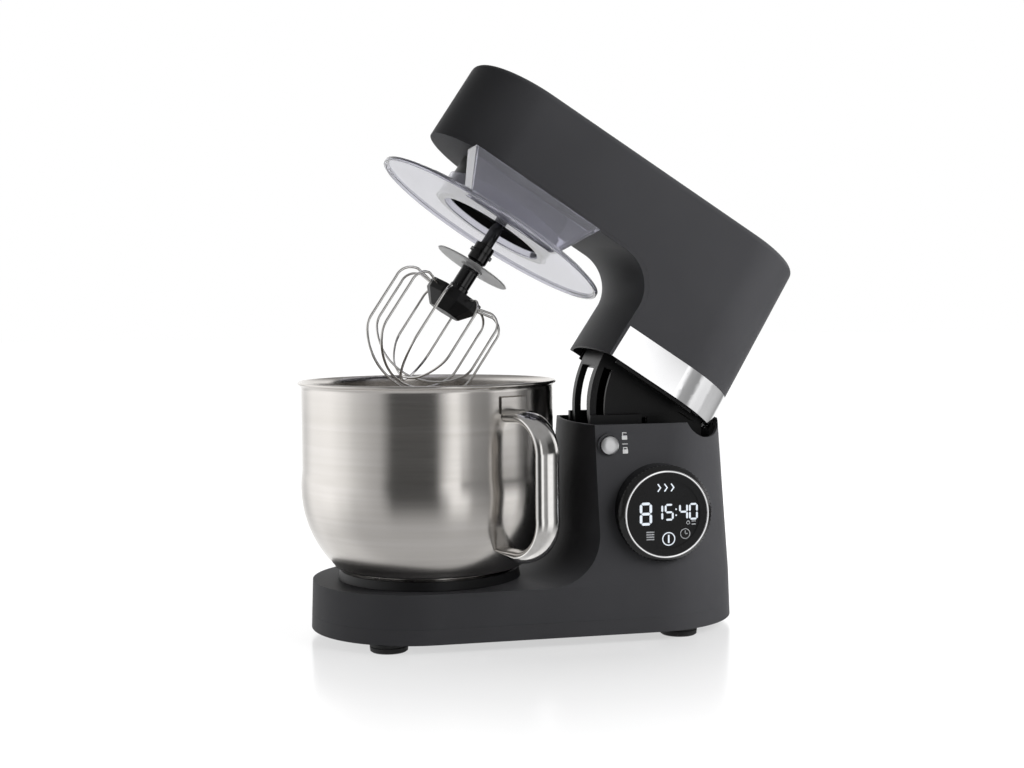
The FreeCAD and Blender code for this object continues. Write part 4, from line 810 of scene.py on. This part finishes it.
def wire_path(settings):
    """One loop in the tool's own plane, in mm with its ends at height 0, and the height of those ends."""
    low, high, radius = reach("whisk_wires", TOOL)
    hub_r = reach("whisk_hub", TOOL)[2]
    wire_r = settings.wire / 2
    start = high - wire_r - SHOULDER_RISE
    wide = radius - wire_r
    bottom = low + wire_r - start
    belly = bottom + settings.belly
    corner = settings.corner
    span = wide - corner
    floor_r = (span ** 2 + settings.belly ** 2 - corner ** 2) / (2 * (settings.belly - corner))
    lean = math.atan2(floor_r - settings.belly, span)
    half = [(hub_r - WIRE_HOLD, 0), (wide - SHOULDER, SHOULDER_RISE)]
    half += arc_through((wide - SHOULDER + 1, SHOULDER_RISE), (wide - SHOULDER_MID[0], -SHOULDER_MID[1]),
                        (wide, -SHOULDER), SHOULDER_STEPS)
    for k in range(CORNER_STEPS):
        t = lean * k / CORNER_STEPS
        half.append((span + corner * math.cos(t), belly - corner * math.sin(t)))
    for k in range(FLOOR_STEPS + 1):
        t = lean + (math.pi / 2 - lean) * k / FLOOR_STEPS
        half.append((floor_r * math.cos(t), bottom + floor_r - floor_r * math.sin(t)))
    return half + [(-x, z) for x, z in half[-2::-1]], start


class MIXER_OT_whisk(bpy.types.Operator):
    """Whisk: wire loops, hub, sleeve and disc"""
    bl_idname = "mixer.whisk"
    bl_label = "Whisk"

    def execute(self, context):
        self.wires(context.scene.mixer_whisk)
        dressed("whisk_hub", "whisk_core", "tool", "base_black", HUB_EDGE, HUB_ANGLE)
        self.sleeve()
        self.disc()
        return {"FINISHED"}

    def wires(self, settings):
        line, start = wire_path(settings)
        section = ellipse(settings.wire / 2, settings.wire / 2, steps=12)
        work = bmesh.new()
        sweep(work, [(x, 0, z) for x, z in line], section, Y)
        stand = TOOL @ Matrix.Translation((0, 0, start * MM))
        ring_of(work, "whisk_loops", "tool", "polished_steel", settings.loops, math.pi, stand, "whisk_wires",
                shrink=settings.shrink)

    def sleeve(self):
        """Two collars at the top, a neck, and a smooth barrel with a foot collar."""
        low, high, radius = reach("whisk_sleeve", TOOL)
        bore = reach("tool_shaft", TOOL)[2] - 2.3
        body = radius - 1.0
        profile = [
            (bore, high), (radius - 0.5, high), (radius, high - 0.5), (radius, high - 6.5),
            (radius - 0.7, high - 7), (radius - 0.7, high - 8), (radius, high - 8.5), (radius, high - 15.5),
            (radius - 0.5, high - 16), (body - 0.6, high - 17), (body - 0.6, high - 20.5), (body, high - 21),
            (body, low + 6), (body + 0.8, low + 5), (body + 0.8, low + 1), (body, low), (bore, low),
        ]
        lathe("whisk_socket", "tool", "gloss_black", profile, TOOL, "whisk_sleeve", steps=64)

    def disc(self):
        """Thin disc with a boss round the sleeve."""
        low, high, radius = reach("whisk_disc", TOOL)
        inner = reach("whisk_sleeve", TOOL)[2] - 1.0
        mid = (low + high) / 2
        boss_low = mid - 1.8
        boss_high = mid + 1.8
        profile = [
            (inner + 0.1, boss_low), (inner + 2.2, boss_low), (inner + 3, low), (radius - 0.8, low),
            (radius, mid), (radius - 0.8, high), (inner + 3, high), (inner + 2.2, boss_high),
            (inner + 0.1, boss_high),
        ]
        lathe("drip_disc", "tool", "clear_disc", profile, TOOL, "whisk_disc")


# Display and dial. Places on the display are in mm from its middle.

SEGMENTS = {
    "0": "abcdef", "1": "bc", "2": "abged", "3": "abgcd", "4": "fgbc", "5": "afgcd",
    "6": "afgedc", "7": "abc", "8": "abcdefg", "9": "abcdfg",
}
SPEED = ("8", (-19, 0.8))
TIME = (("1", -7.5), ("5", 2.0), ("4", 15.0), ("0", 24.0))
TIME_Y = 1.6
COLON = ((8.3, 4.0), (8.3, -1.2))
ARROWS = (-6.0, 0.0, 6.0)
POWER = (1.5, -21.5)
CLOCK = (16.5, -17.5)
MENU_ROWS = (-21.4, -19.3, -17.2, -15.1)
SMALL_RING = (19.2, -8.0)
SMALL_BARS = (-9.5, -6.8)
MARK_STROKE = 1.1
MARK_SINK = 0.05
MARK_RISE = 0.12
DIAL_STEPS = 144
TRIM_WIDTH = 1.9


def digit_shapes(work, text, at, height, low, high):
    """Seven-segment digit: six-sided bars, centred on a point."""
    w = height * 0.25
    h = height * 0.5
    t = height * 0.065
    ends = {
        "a": ((-w, h), (w, h)), "g": ((-w, 0), (w, 0)), "d": ((-w, -h), (w, -h)),
        "f": ((-w, h), (-w, 0)), "b": ((w, h), (w, 0)), "e": ((-w, 0), (-w, -h)), "c": ((w, 0), (w, -h)),
    }
    for letter in SEGMENTS[text]:
        a, b = (Vector(end) for end in ends[letter])
        along = (b - a).normalized()
        a += along * t * 0.35
        b -= along * t * 0.35
        side = Vector((-along.y, along.x)) * t
        inset = along * t
        points = [a, a + inset + side, b - inset + side, b, b - inset - side, a + inset - side]
        prism(work, [(at[0] + p.x, at[1] + p.y) for p in points], low, high)


def bar(work, a, b, width, low, high):
    """Straight stroke between two points."""
    a = Vector(a)
    b = Vector(b)
    along = (b - a).normalized()
    side = Vector((-along.y, along.x)) * width / 2
    prism(work, [tuple(a + side), tuple(a - side), tuple(b - side), tuple(b + side)], low, high)


class MIXER_OT_dial(bpy.types.Operator):
    """Round display with its turning ring and lit marks"""
    bl_idname = "mixer.dial"
    bl_label = "Dial and display"

    def execute(self, context):
        settings = context.scene.mixer_dial
        self.ring(settings)
        dressed("dial_carrier", "dial_pedestal", "base", "gloss_black", INNER_EDGE)
        self.window()
        self.figures(settings.digit)
        self.signs()
        return {"FINISHED"}

    def ring(self, settings):
        """Grip with its ribs, bright ring and the flat inside it."""
        low, high, radius = reach("dial_skirt", DIAL)
        trim_low, trim_high, trim_r = reach("dial_trim", DIAL)
        lens_r = reach("display_lens", DIAL)[2]
        inner = lens_r + 2.9
        outline = [(inner, high), (trim_r, high), (radius, low + 1.2), (radius, low), (inner, low)]
        lathe("dial_grip", "speed_dial", "gloss_black", rounded(outline, 0.5), DIAL, "dial_skirt",
              steps=DIAL_STEPS)
        work = bmesh.new()
        root = radius - 1.2
        tip = radius + 0.25
        prism(work, [(root, -0.55), (tip, -0.35), (tip, 0.35), (root, 0.55)], low + 0.2, low + 1.6)
        ring_of(work, "dial_ribs", "speed_dial", "gloss_black", settings.ribs, FULL_TURN, DIAL)
        inner = trim_r - TRIM_WIDTH
        outline = [(inner, trim_low), (trim_r, trim_low), (trim_r, trim_high), (inner, trim_high)]
        lathe("dial_bright_ring", "speed_dial", "chrome", rounded(outline, 0.7), DIAL, "dial_trim",
              steps=DIAL_STEPS)
        bottom = trim_high - 1.0
        top = trim_high - 0.5
        flat = [(lens_r - 0.6, bottom), (inner + 0.1, bottom), (inner + 0.1, top), (lens_r - 0.6, top)]
        lathe("dial_inner_flat", "speed_dial", "window", flat, DIAL, slot="gloss_black", steps=DIAL_STEPS)

    def window(self):
        low, high, radius = reach("display_lens", DIAL)
        profile = [(0, low), (radius, low), (radius, high - 0.3), (radius - 0.4, high), (0, high)]
        lathe("display_window", "base", "window", profile, DIAL, "display_lens", slot="gloss_black",
              closed=False)

    def mark_heights(self):
        face = reach("display_lens", DIAL)[1]
        return face - MARK_SINK, face + MARK_RISE

    def figures(self, tall):
        """Lit: speed, time, three arrows and the power sign."""
        depth = self.mark_heights()
        work = bmesh.new()
        digit_shapes(work, *SPEED, tall * 1.3, *depth)
        for text, x in TIME:
            digit_shapes(work, text, (x, TIME_Y), tall * 0.95, *depth)
        for dot in COLON:
            hoop(work, dot, 0.15, 0.75, *depth, 12)
        for x in ARROWS:
            bar(work, (x - 2.2, 26.3), (x + 0.4, 22.8), MARK_STROKE, *depth)
            bar(work, (x + 0.4, 23.2), (x - 2.2, 19.7), MARK_STROKE, *depth)
        hoop(work, POWER, 5.0, 5.9, *depth)
        bar(work, (POWER[0], POWER[1] - 3.5), (POWER[0], POWER[1] + 3.5), 1.4, *depth)
        rests(as_piece(work, "display_figures", "lit", DIAL), "base", "gloss_black")

    def signs(self):
        """Faint: clock, menu lines and small marks."""
        depth = self.mark_heights()
        work = bmesh.new()
        hoop(work, CLOCK, 3.9, 4.6, *depth)
        bar(work, CLOCK, (CLOCK[0], CLOCK[1] + 2.7), 0.8, *depth)
        bar(work, CLOCK, (CLOCK[0] + 2.1, CLOCK[1]), 0.8, *depth)
        for y in MENU_ROWS:
            bar(work, (-18.6, y), (-11.6, y), MARK_STROKE, *depth)
        hoop(work, SMALL_RING, 1.0, 1.7, *depth, 20)
        for y in SMALL_BARS:
            bar(work, (22.4, y), (26.2, y), 0.9, *depth)
        rests(as_piece(work, "display_signs", "dim", DIAL), "base", "gloss_black")


# Release button and the lock signs beside it, in mm

LOCK_AWAY = 14.5
LOCK_STROKE = 0.7
LOCKS = ((7.0, 0.9), (-5.2, 0.0))
INK = (0.02, 0.14)
RAY_START = 0.1


def wall_place(x, z):
    """Point of the column's display side and the wall's outward normal there."""
    start = Vector((x, CAD_BOX[0][1] - RAY_START, z))
    work = bmesh.new()
    work.from_mesh(NODES["base_housing"].data)
    point, normal, _, _ = BVHTree.FromBMesh(work).ray_cast(start, Y)
    work.free()
    if point is None:
        raise RuntimeError("the housing has no wall at the place asked for")
    return point, normal


class MIXER_OT_button(bpy.types.Operator):
    """Release button, its bezel and the lock signs beside it"""
    bl_idname = "mixer.button"
    bl_label = "Release button"

    def execute(self, context):
        low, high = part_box("button_cap")
        centre = (low + high) / 2
        stand = placed((centre.x, low.y, centre.z), -Y, X)
        radius = (high.x - low.x) / 2 / MM
        depth = (high.y - low.y) / MM
        profile = [(0, 0.0)]
        profile += arc_through((radius * 0.4, -0.06), (radius * 0.75, -0.35), (radius - 0.6, -0.8), 8)
        profile += [(radius - 0.15, -1.1), (radius, -1.5), (radius, -depth), (0, -depth)]
        lathe("release_cap", "release_button", "button_silver", profile, stand, "button_cap",
              steps=64, closed=False)
        dressed("button_bezel", "release_bezel", "base", "soft_black", FINE_EDGE)
        self.locks(centre)
        return {"FINISHED"}

    def locks(self, centre):
        """Open lock, dash and shut lock, printed on the wall right of the button."""
        point, normal = wall_place(centre.x + LOCK_AWAY * MM, centre.z)
        work = bmesh.new()
        for y, lift in LOCKS:
            low = y - 2.6
            shoulder = y + 1.0
            top = y + 2.6 + lift
            body = rounded([(-2.4, low), (2.4, low), (2.4, shoulder), (-2.4, shoulder)], 0.5)
            prism(work, body, *INK)
            bar(work, (-1.6, shoulder), (-1.6, top), LOCK_STROKE, *INK)
            bar(work, (-1.95, top), (1.95, top), LOCK_STROKE, *INK)
            bar(work, (1.6, top), (1.6, shoulder + 2 * lift), LOCK_STROKE, *INK)
        bar(work, (-2.6, 0.6), (2.6, 0.6), 0.6, *INK)
        locks = as_piece(work, "lock_signs", "print", placed(point, normal, X))
        rests(locks, "base", "button_silver")


# Feet

class MIXER_OT_feet(bpy.types.Operator):
    """Rubber feet with a ring of grip lugs underneath"""
    bl_idname = "mixer.feet"
    bl_label = "Feet"

    def execute(self, context):
        for side in ("front_left", "front_right", "rear_left", "rear_right"):
            self.foot(side, context.scene.mixer_foot.treads)
        return {"FINISHED"}

    def foot(self, side, treads):
        node = side + "_foot"
        low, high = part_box(node)
        centre = (low + high) / 2
        stand = Matrix.Translation((centre.x, centre.y, low.z))
        radius = (high.x - low.x) / 2 / MM
        stem = (high.z - low.z) / MM
        profile = [
            (0, 0.6), (radius - 7, 0.6), (radius - 6.4, 0), (radius - 2.2, 0), (radius - 1, 0.9),
            (radius - 0.6, 4.4), (radius - 1.2, 4.8), (radius - 1.2, 5.4), (radius - 0.4, 5.8),
            (radius, 7.6), (5, 7.8), (5, stem), (0, stem),
        ]
        lathe(side + "_rubber", "base", "rubber_black", profile, stand, node, steps=72, closed=False)
        inner = radius - 10.6
        outer = radius - 7.8
        work = bmesh.new()
        outline = rounded([(inner, -1.4), (outer, -1.4), (outer, 1.4), (inner, 1.4)], 0.6)
        prism(work, outline, 0.05, 0.7)
        ring_of(work, side + "_lugs", "base", "rubber_black", treads, FULL_TURN, stand)


# Parts inside, kept as solids with their finishes

class MIXER_OT_inner(bpy.types.Operator):
    """Finishes of the solids that stay as they are"""
    bl_idname = "mixer.inner"
    bl_label = "Inner parts"

    def execute(self, context):
        for entry in frame["record"]["subparts"]:
            obj = NODES[entry["node"]]
            obj.data.materials.clear()
            obj.data.materials.append(material_named(entry["material_slot"]))
        return {"FINISHED"}


# Stage

# Lamps: place, target and size in m, power in W
LAMPS = {
    "key_box": ((0.55, -0.6, 0.65), (0.05, 0, 0.3), (0.5, 0.5), 7.5),
    "overhead_box": ((0.1, 0.1, 1.7), (0, 0, 0.2), (1.6, 1.2), 0.3),
    "right_box": ((1.4, -0.35, 0.4), (0.1, 0, 0.25), (0.6, 1.2), 18),
    "bounce_box": ((-0.7, -0.2, 0.15), (-0.1, 0, 0.4), (0.4, 0.3), 1.5),
    "rear_box": ((0.2, 1.1, 0.6), (0.05, 0, 0.25), (0.7, 0.7), 9),
}

# A lamp that points down more steeply than this takes X as its side
STEEP = 0.99

# Brightness of the panels in reflections by degrees round the object: at bowl height, above it, to the floor
LOW_PANELS = (
    (-180, 0.86), (-156, 0.55), (-134, 0.9), (-108, 1.0), (-92, 0.8), (-76, 0.53), (-54, 0.4), (-47, 0.26),
    (-41, 0.045), (-3, 0.045), (5, 0.32), (13, 0.92), (23, 0.92), (31, 0.3), (46, 0.22), (55, 0.9), (74, 0.9),
    (83, 0.22), (94, 0.04), (128, 0.04), (142, 0.86), (180, 0.86),
)
HIGH_PANELS = (
    (-180, 0.86), (-130, 0.95), (-100, 0.9), (-56, 0.4), (-43, 0.05), (-4, 0.05), (8, 0.9), (18.3, 0.95),
    (18.8, 0.2), (50, 0.16), (62, 0.04), (90, 0.04), (100, 0.86), (180, 0.86),
)
FLOOR_PANELS = ((-180, 0.86), (-120, 0.6), (-80, 0.4), (60, 0.4), (100, 0.7), (180, 0.86))
CEILING = (0.25, 0.25, 0.25, 1)
WHITE = (1, 1, 1, 1)

# Heights of a direction between which one ring of panels gives way to the next, from -1 below to 1 above
RAISED = (-0.06, 0.0)
LOWERED = (-0.2, -0.5)
OVERHEAD = (0.3, 0.6)

# Strength of the world on matt surfaces and in reflections
EVEN_LIGHT = 0.08
MIRROR_LIGHT = 1.25

# Table: glow and sheen near and far, each with the two distances in m between which it changes
TABLE_GLOW = (1.27, 1.5, 0.25, 0.7)
TABLE_SHEEN = (1.35, 0.05, 0.12, 0.48)
GLOW_SHARE = 0.7


def camera_matrix(stage):
    """Camera's place and turn, worked out from its angles round the bowl."""
    eye = BOWL_AXIS + Vector((math.sin(stage.azimuth) * stage.distance,
                              -math.cos(stage.azimuth) * stage.distance, stage.height))
    heading = stage.azimuth + stage.pan
    level = math.cos(stage.pitch)
    forward = Vector((-math.sin(heading) * level, math.cos(heading) * level, -math.sin(stage.pitch)))
    right = Vector((math.cos(heading), math.sin(heading), 0))
    up = right.cross(forward)
    x_axis = right * math.cos(stage.roll) + up * math.sin(stage.roll)
    return placed(eye, -forward, x_axis)


def panel_ring(tree, turn, stops):
    """Colours of one ring of panels, by the share of a full turn."""
    panels = add_node(tree, "ShaderNodeValToRGB", {"Fac": turn})
    ramp = panels.color_ramp
    ramp.interpolation = "EASE"
    while len(ramp.elements) < len(stops):
        ramp.elements.new(0.5)
    for element, (degrees, level) in zip(ramp.elements, stops):
        element.position = (degrees + 180) / 360
        element.color = (level, level, level, 1)
    return panels.outputs["Color"]


def blended(tree, share, first, second):
    """Mix of two colours by a share."""
    mix = add_node(tree, "ShaderNodeMix", {"Factor": share, 6: first, 7: second}, data_type="RGBA")
    return mix.outputs[2]


def studio_world(world):
    """White to the camera; soft and even on matt surfaces; pale and dark panels in reflections."""
    world.use_nodes = True
    tree = world.node_tree
    tree.nodes.clear()
    path = add_node(tree, "ShaderNodeLightPath").outputs
    way = add_node(tree, "ShaderNodeTexCoord").outputs["Generated"]
    parts = add_node(tree, "ShaderNodeSeparateXYZ", {"Vector": way}).outputs
    back = add_node(tree, "ShaderNodeMath", {0: parts["Y"], 1: -1.0}, operation="MULTIPLY")
    angle = add_node(tree, "ShaderNodeMath", {0: parts["X"], 1: back.outputs[0]}, operation="ARCTAN2")
    turn = spread(tree, angle.outputs[0], 0, 1, -math.pi, math.pi)
    raised = spread(tree, parts["Z"], 0, 1, *RAISED)
    floor = spread(tree, parts["Z"], 0, 1, *LOWERED)
    ceiling = spread(tree, parts["Z"], 0, 1, *OVERHEAD)
    panels = blended(tree, raised, panel_ring(tree, turn, LOW_PANELS), panel_ring(tree, turn, HIGH_PANELS))
    panels = blended(tree, floor, panels, panel_ring(tree, turn, FLOOR_PANELS))
    panels = blended(tree, ceiling, panels, CEILING)
    even = add_node(tree, "ShaderNodeBackground", {"Color": linear("#f4f5f8"), "Strength": EVEN_LIGHT})
    mirror = add_node(tree, "ShaderNodeBackground", {"Color": panels, "Strength": MIRROR_LIGHT})
    white = add_node(tree, "ShaderNodeBackground", {"Color": WHITE, "Strength": 1.0})
    first = add_node(tree, "ShaderNodeMixShader",
                     {0: path["Is Glossy Ray"], 1: even.outputs[0], 2: mirror.outputs[0]})
    seen = add_node(tree, "ShaderNodeMath",
                    {0: path["Is Camera Ray"], 1: path["Is Transmission Ray"]}, operation="MAXIMUM")
    last = add_node(tree, "ShaderNodeMixShader",
                    {0: seen.outputs[0], 1: first.outputs[0], 2: white.outputs[0]})
    add_node(tree, "ShaderNodeOutputWorld", {"Surface": last.outputs[0]})


def floor_material():
    """White acrylic table: keeps shadows and a faint reflection, and is white where nothing stands."""
    material, tree = new_material("white_acrylic_table")
    path = add_node(tree, "ShaderNodeLightPath").outputs
    matt = add_node(tree, "ShaderNodeBsdfDiffuse", {"Color": linear("#e9e9ea")})
    place = add_node(tree, "ShaderNodeTexCoord").outputs["Object"]
    away = add_node(tree, "ShaderNodeVectorMath", {0: place}, operation="LENGTH").outputs["Value"]
    level = spread(tree, away, *TABLE_GLOW)
    glow = add_node(tree, "ShaderNodeEmission", {"Color": WHITE, "Strength": level})
    seen = add_node(tree, "ShaderNodeMath", {0: path["Is Camera Ray"], 1: GLOW_SHARE}, operation="MULTIPLY")
    body = add_node(tree, "ShaderNodeMixShader",
                    {0: seen.outputs[0], 1: matt.outputs[0], 2: glow.outputs[0]})
    gloss = add_node(tree, "ShaderNodeBsdfGlossy", {"Color": WHITE, "Roughness": 0.2})
    rim = add_node(tree, "ShaderNodeFresnel", {"IOR": 1.36})
    fade = spread(tree, away, *TABLE_SHEEN)
    sheen = add_node(tree, "ShaderNodeMath", {0: rim.outputs[0], 1: fade}, operation="MULTIPLY")
    both = add_node(tree, "ShaderNodeMixShader",
                    {0: sheen.outputs[0], 1: body.outputs[0], 2: gloss.outputs[0]})
    add_node(tree, "ShaderNodeOutputMaterial", {"Surface": both.outputs[0]})
    return material


def soft_box(name, place, target, size, power):
    """Lamp that lights matt surfaces only, turned to its target."""
    data = bpy.data.lights.new(name, "AREA")
    data.shape = "RECTANGLE"
    data.size, data.size_y = size
    data.energy = power
    light = bpy.data.objects.new(name, data)
    light.visible_glossy = False
    light.visible_camera = False
    light.visible_transmission = False
    bpy.context.scene.collection.objects.link(light)
    away = (Vector(place) - Vector(target)).normalized()
    light.matrix_world = placed(place, away, Z.cross(away) if abs(away.z) < STEEP else X)


class MIXER_OT_stage(bpy.types.Operator):
    """Table, light and camera"""
    bl_idname = "mixer.stage"
    bl_label = "Stage"

    def execute(self, context):
        scene = context.scene
        scene.view_settings.view_transform = "Standard"
        self.table()
        scene.world = bpy.data.worlds.new("studio")
        studio_world(scene.world)
        for name, lamp in LAMPS.items():
            soft_box(name, *lamp)
        data = bpy.data.cameras.new("camera")
        data.sensor_width = 36.0
        data.lens = scene.mixer_stage.lens
        data.clip_end = 100.0
        camera = bpy.data.objects.new("camera", data)
        scene.collection.objects.link(camera)
        camera.matrix_world = camera_matrix(scene.mixer_stage)
        scene.camera = camera
        return {"FINISHED"}

    def table(self):
        half = 15.0
        mesh = bpy.data.meshes.new("table")
        corners = [(-half, -half, 0), (half, -half, 0), (half, half, 0), (-half, half, 0)]
        mesh.from_pydata(corners, [], [(0, 1, 2, 3)])
        table = bpy.data.objects.new("table", mesh)
        bpy.context.scene.collection.objects.link(table)
        mesh.materials.append(floor_material())
        table.visible_glossy = False


class MIXER_PT_panel(bpy.types.Panel):
    """Lists the building steps"""
    bl_idname = "MIXER_PT_panel"
    bl_label = "Mixer"
    bl_space_type = "VIEW_3D"
    bl_region_type = "UI"
    bl_category = "Mixer"

    def draw(self, context):
        for operator in OPERATORS:
            self.layout.operator(operator.bl_idname)


SETTINGS = {
    "mixer_stage": StageSettings,
    "mixer_cover": CoverSettings,
    "mixer_bowl": BowlSettings,
    "mixer_guard": GuardSettings,
    "mixer_whisk": WhiskSettings,
    "mixer_dial": DialSettings,
    "mixer_foot": FootSettings,
}

OPERATORS = (
    MIXER_OT_inner,
    MIXER_OT_covers,
    MIXER_OT_bowl,
    MIXER_OT_handle,
    MIXER_OT_guard,
    MIXER_OT_whisk,
    MIXER_OT_dial,
    MIXER_OT_button,
    MIXER_OT_feet,
    MIXER_OT_stage,
)


def register():
    for group in SETTINGS.values():
        bpy.utils.register_class(group)
    for name, group in SETTINGS.items():
        setattr(bpy.types.Scene, name, bpy.props.PointerProperty(type=group))
    for operator in OPERATORS:
        bpy.utils.register_class(operator)
    bpy.utils.register_class(MIXER_PT_panel)


def unregister():
    bpy.utils.unregister_class(MIXER_PT_panel)
    for operator in reversed(OPERATORS):
        bpy.utils.unregister_class(operator)
    for name in SETTINGS:
        delattr(bpy.types.Scene, name)
    for group in reversed(list(SETTINGS.values())):
        bpy.utils.unregister_class(group)


def main():
    register()
    for operator in OPERATORS:
        group, name = operator.bl_idname.split(".")
        getattr(getattr(bpy.ops, group), name)()


if __name__ == "__main__":
    main()
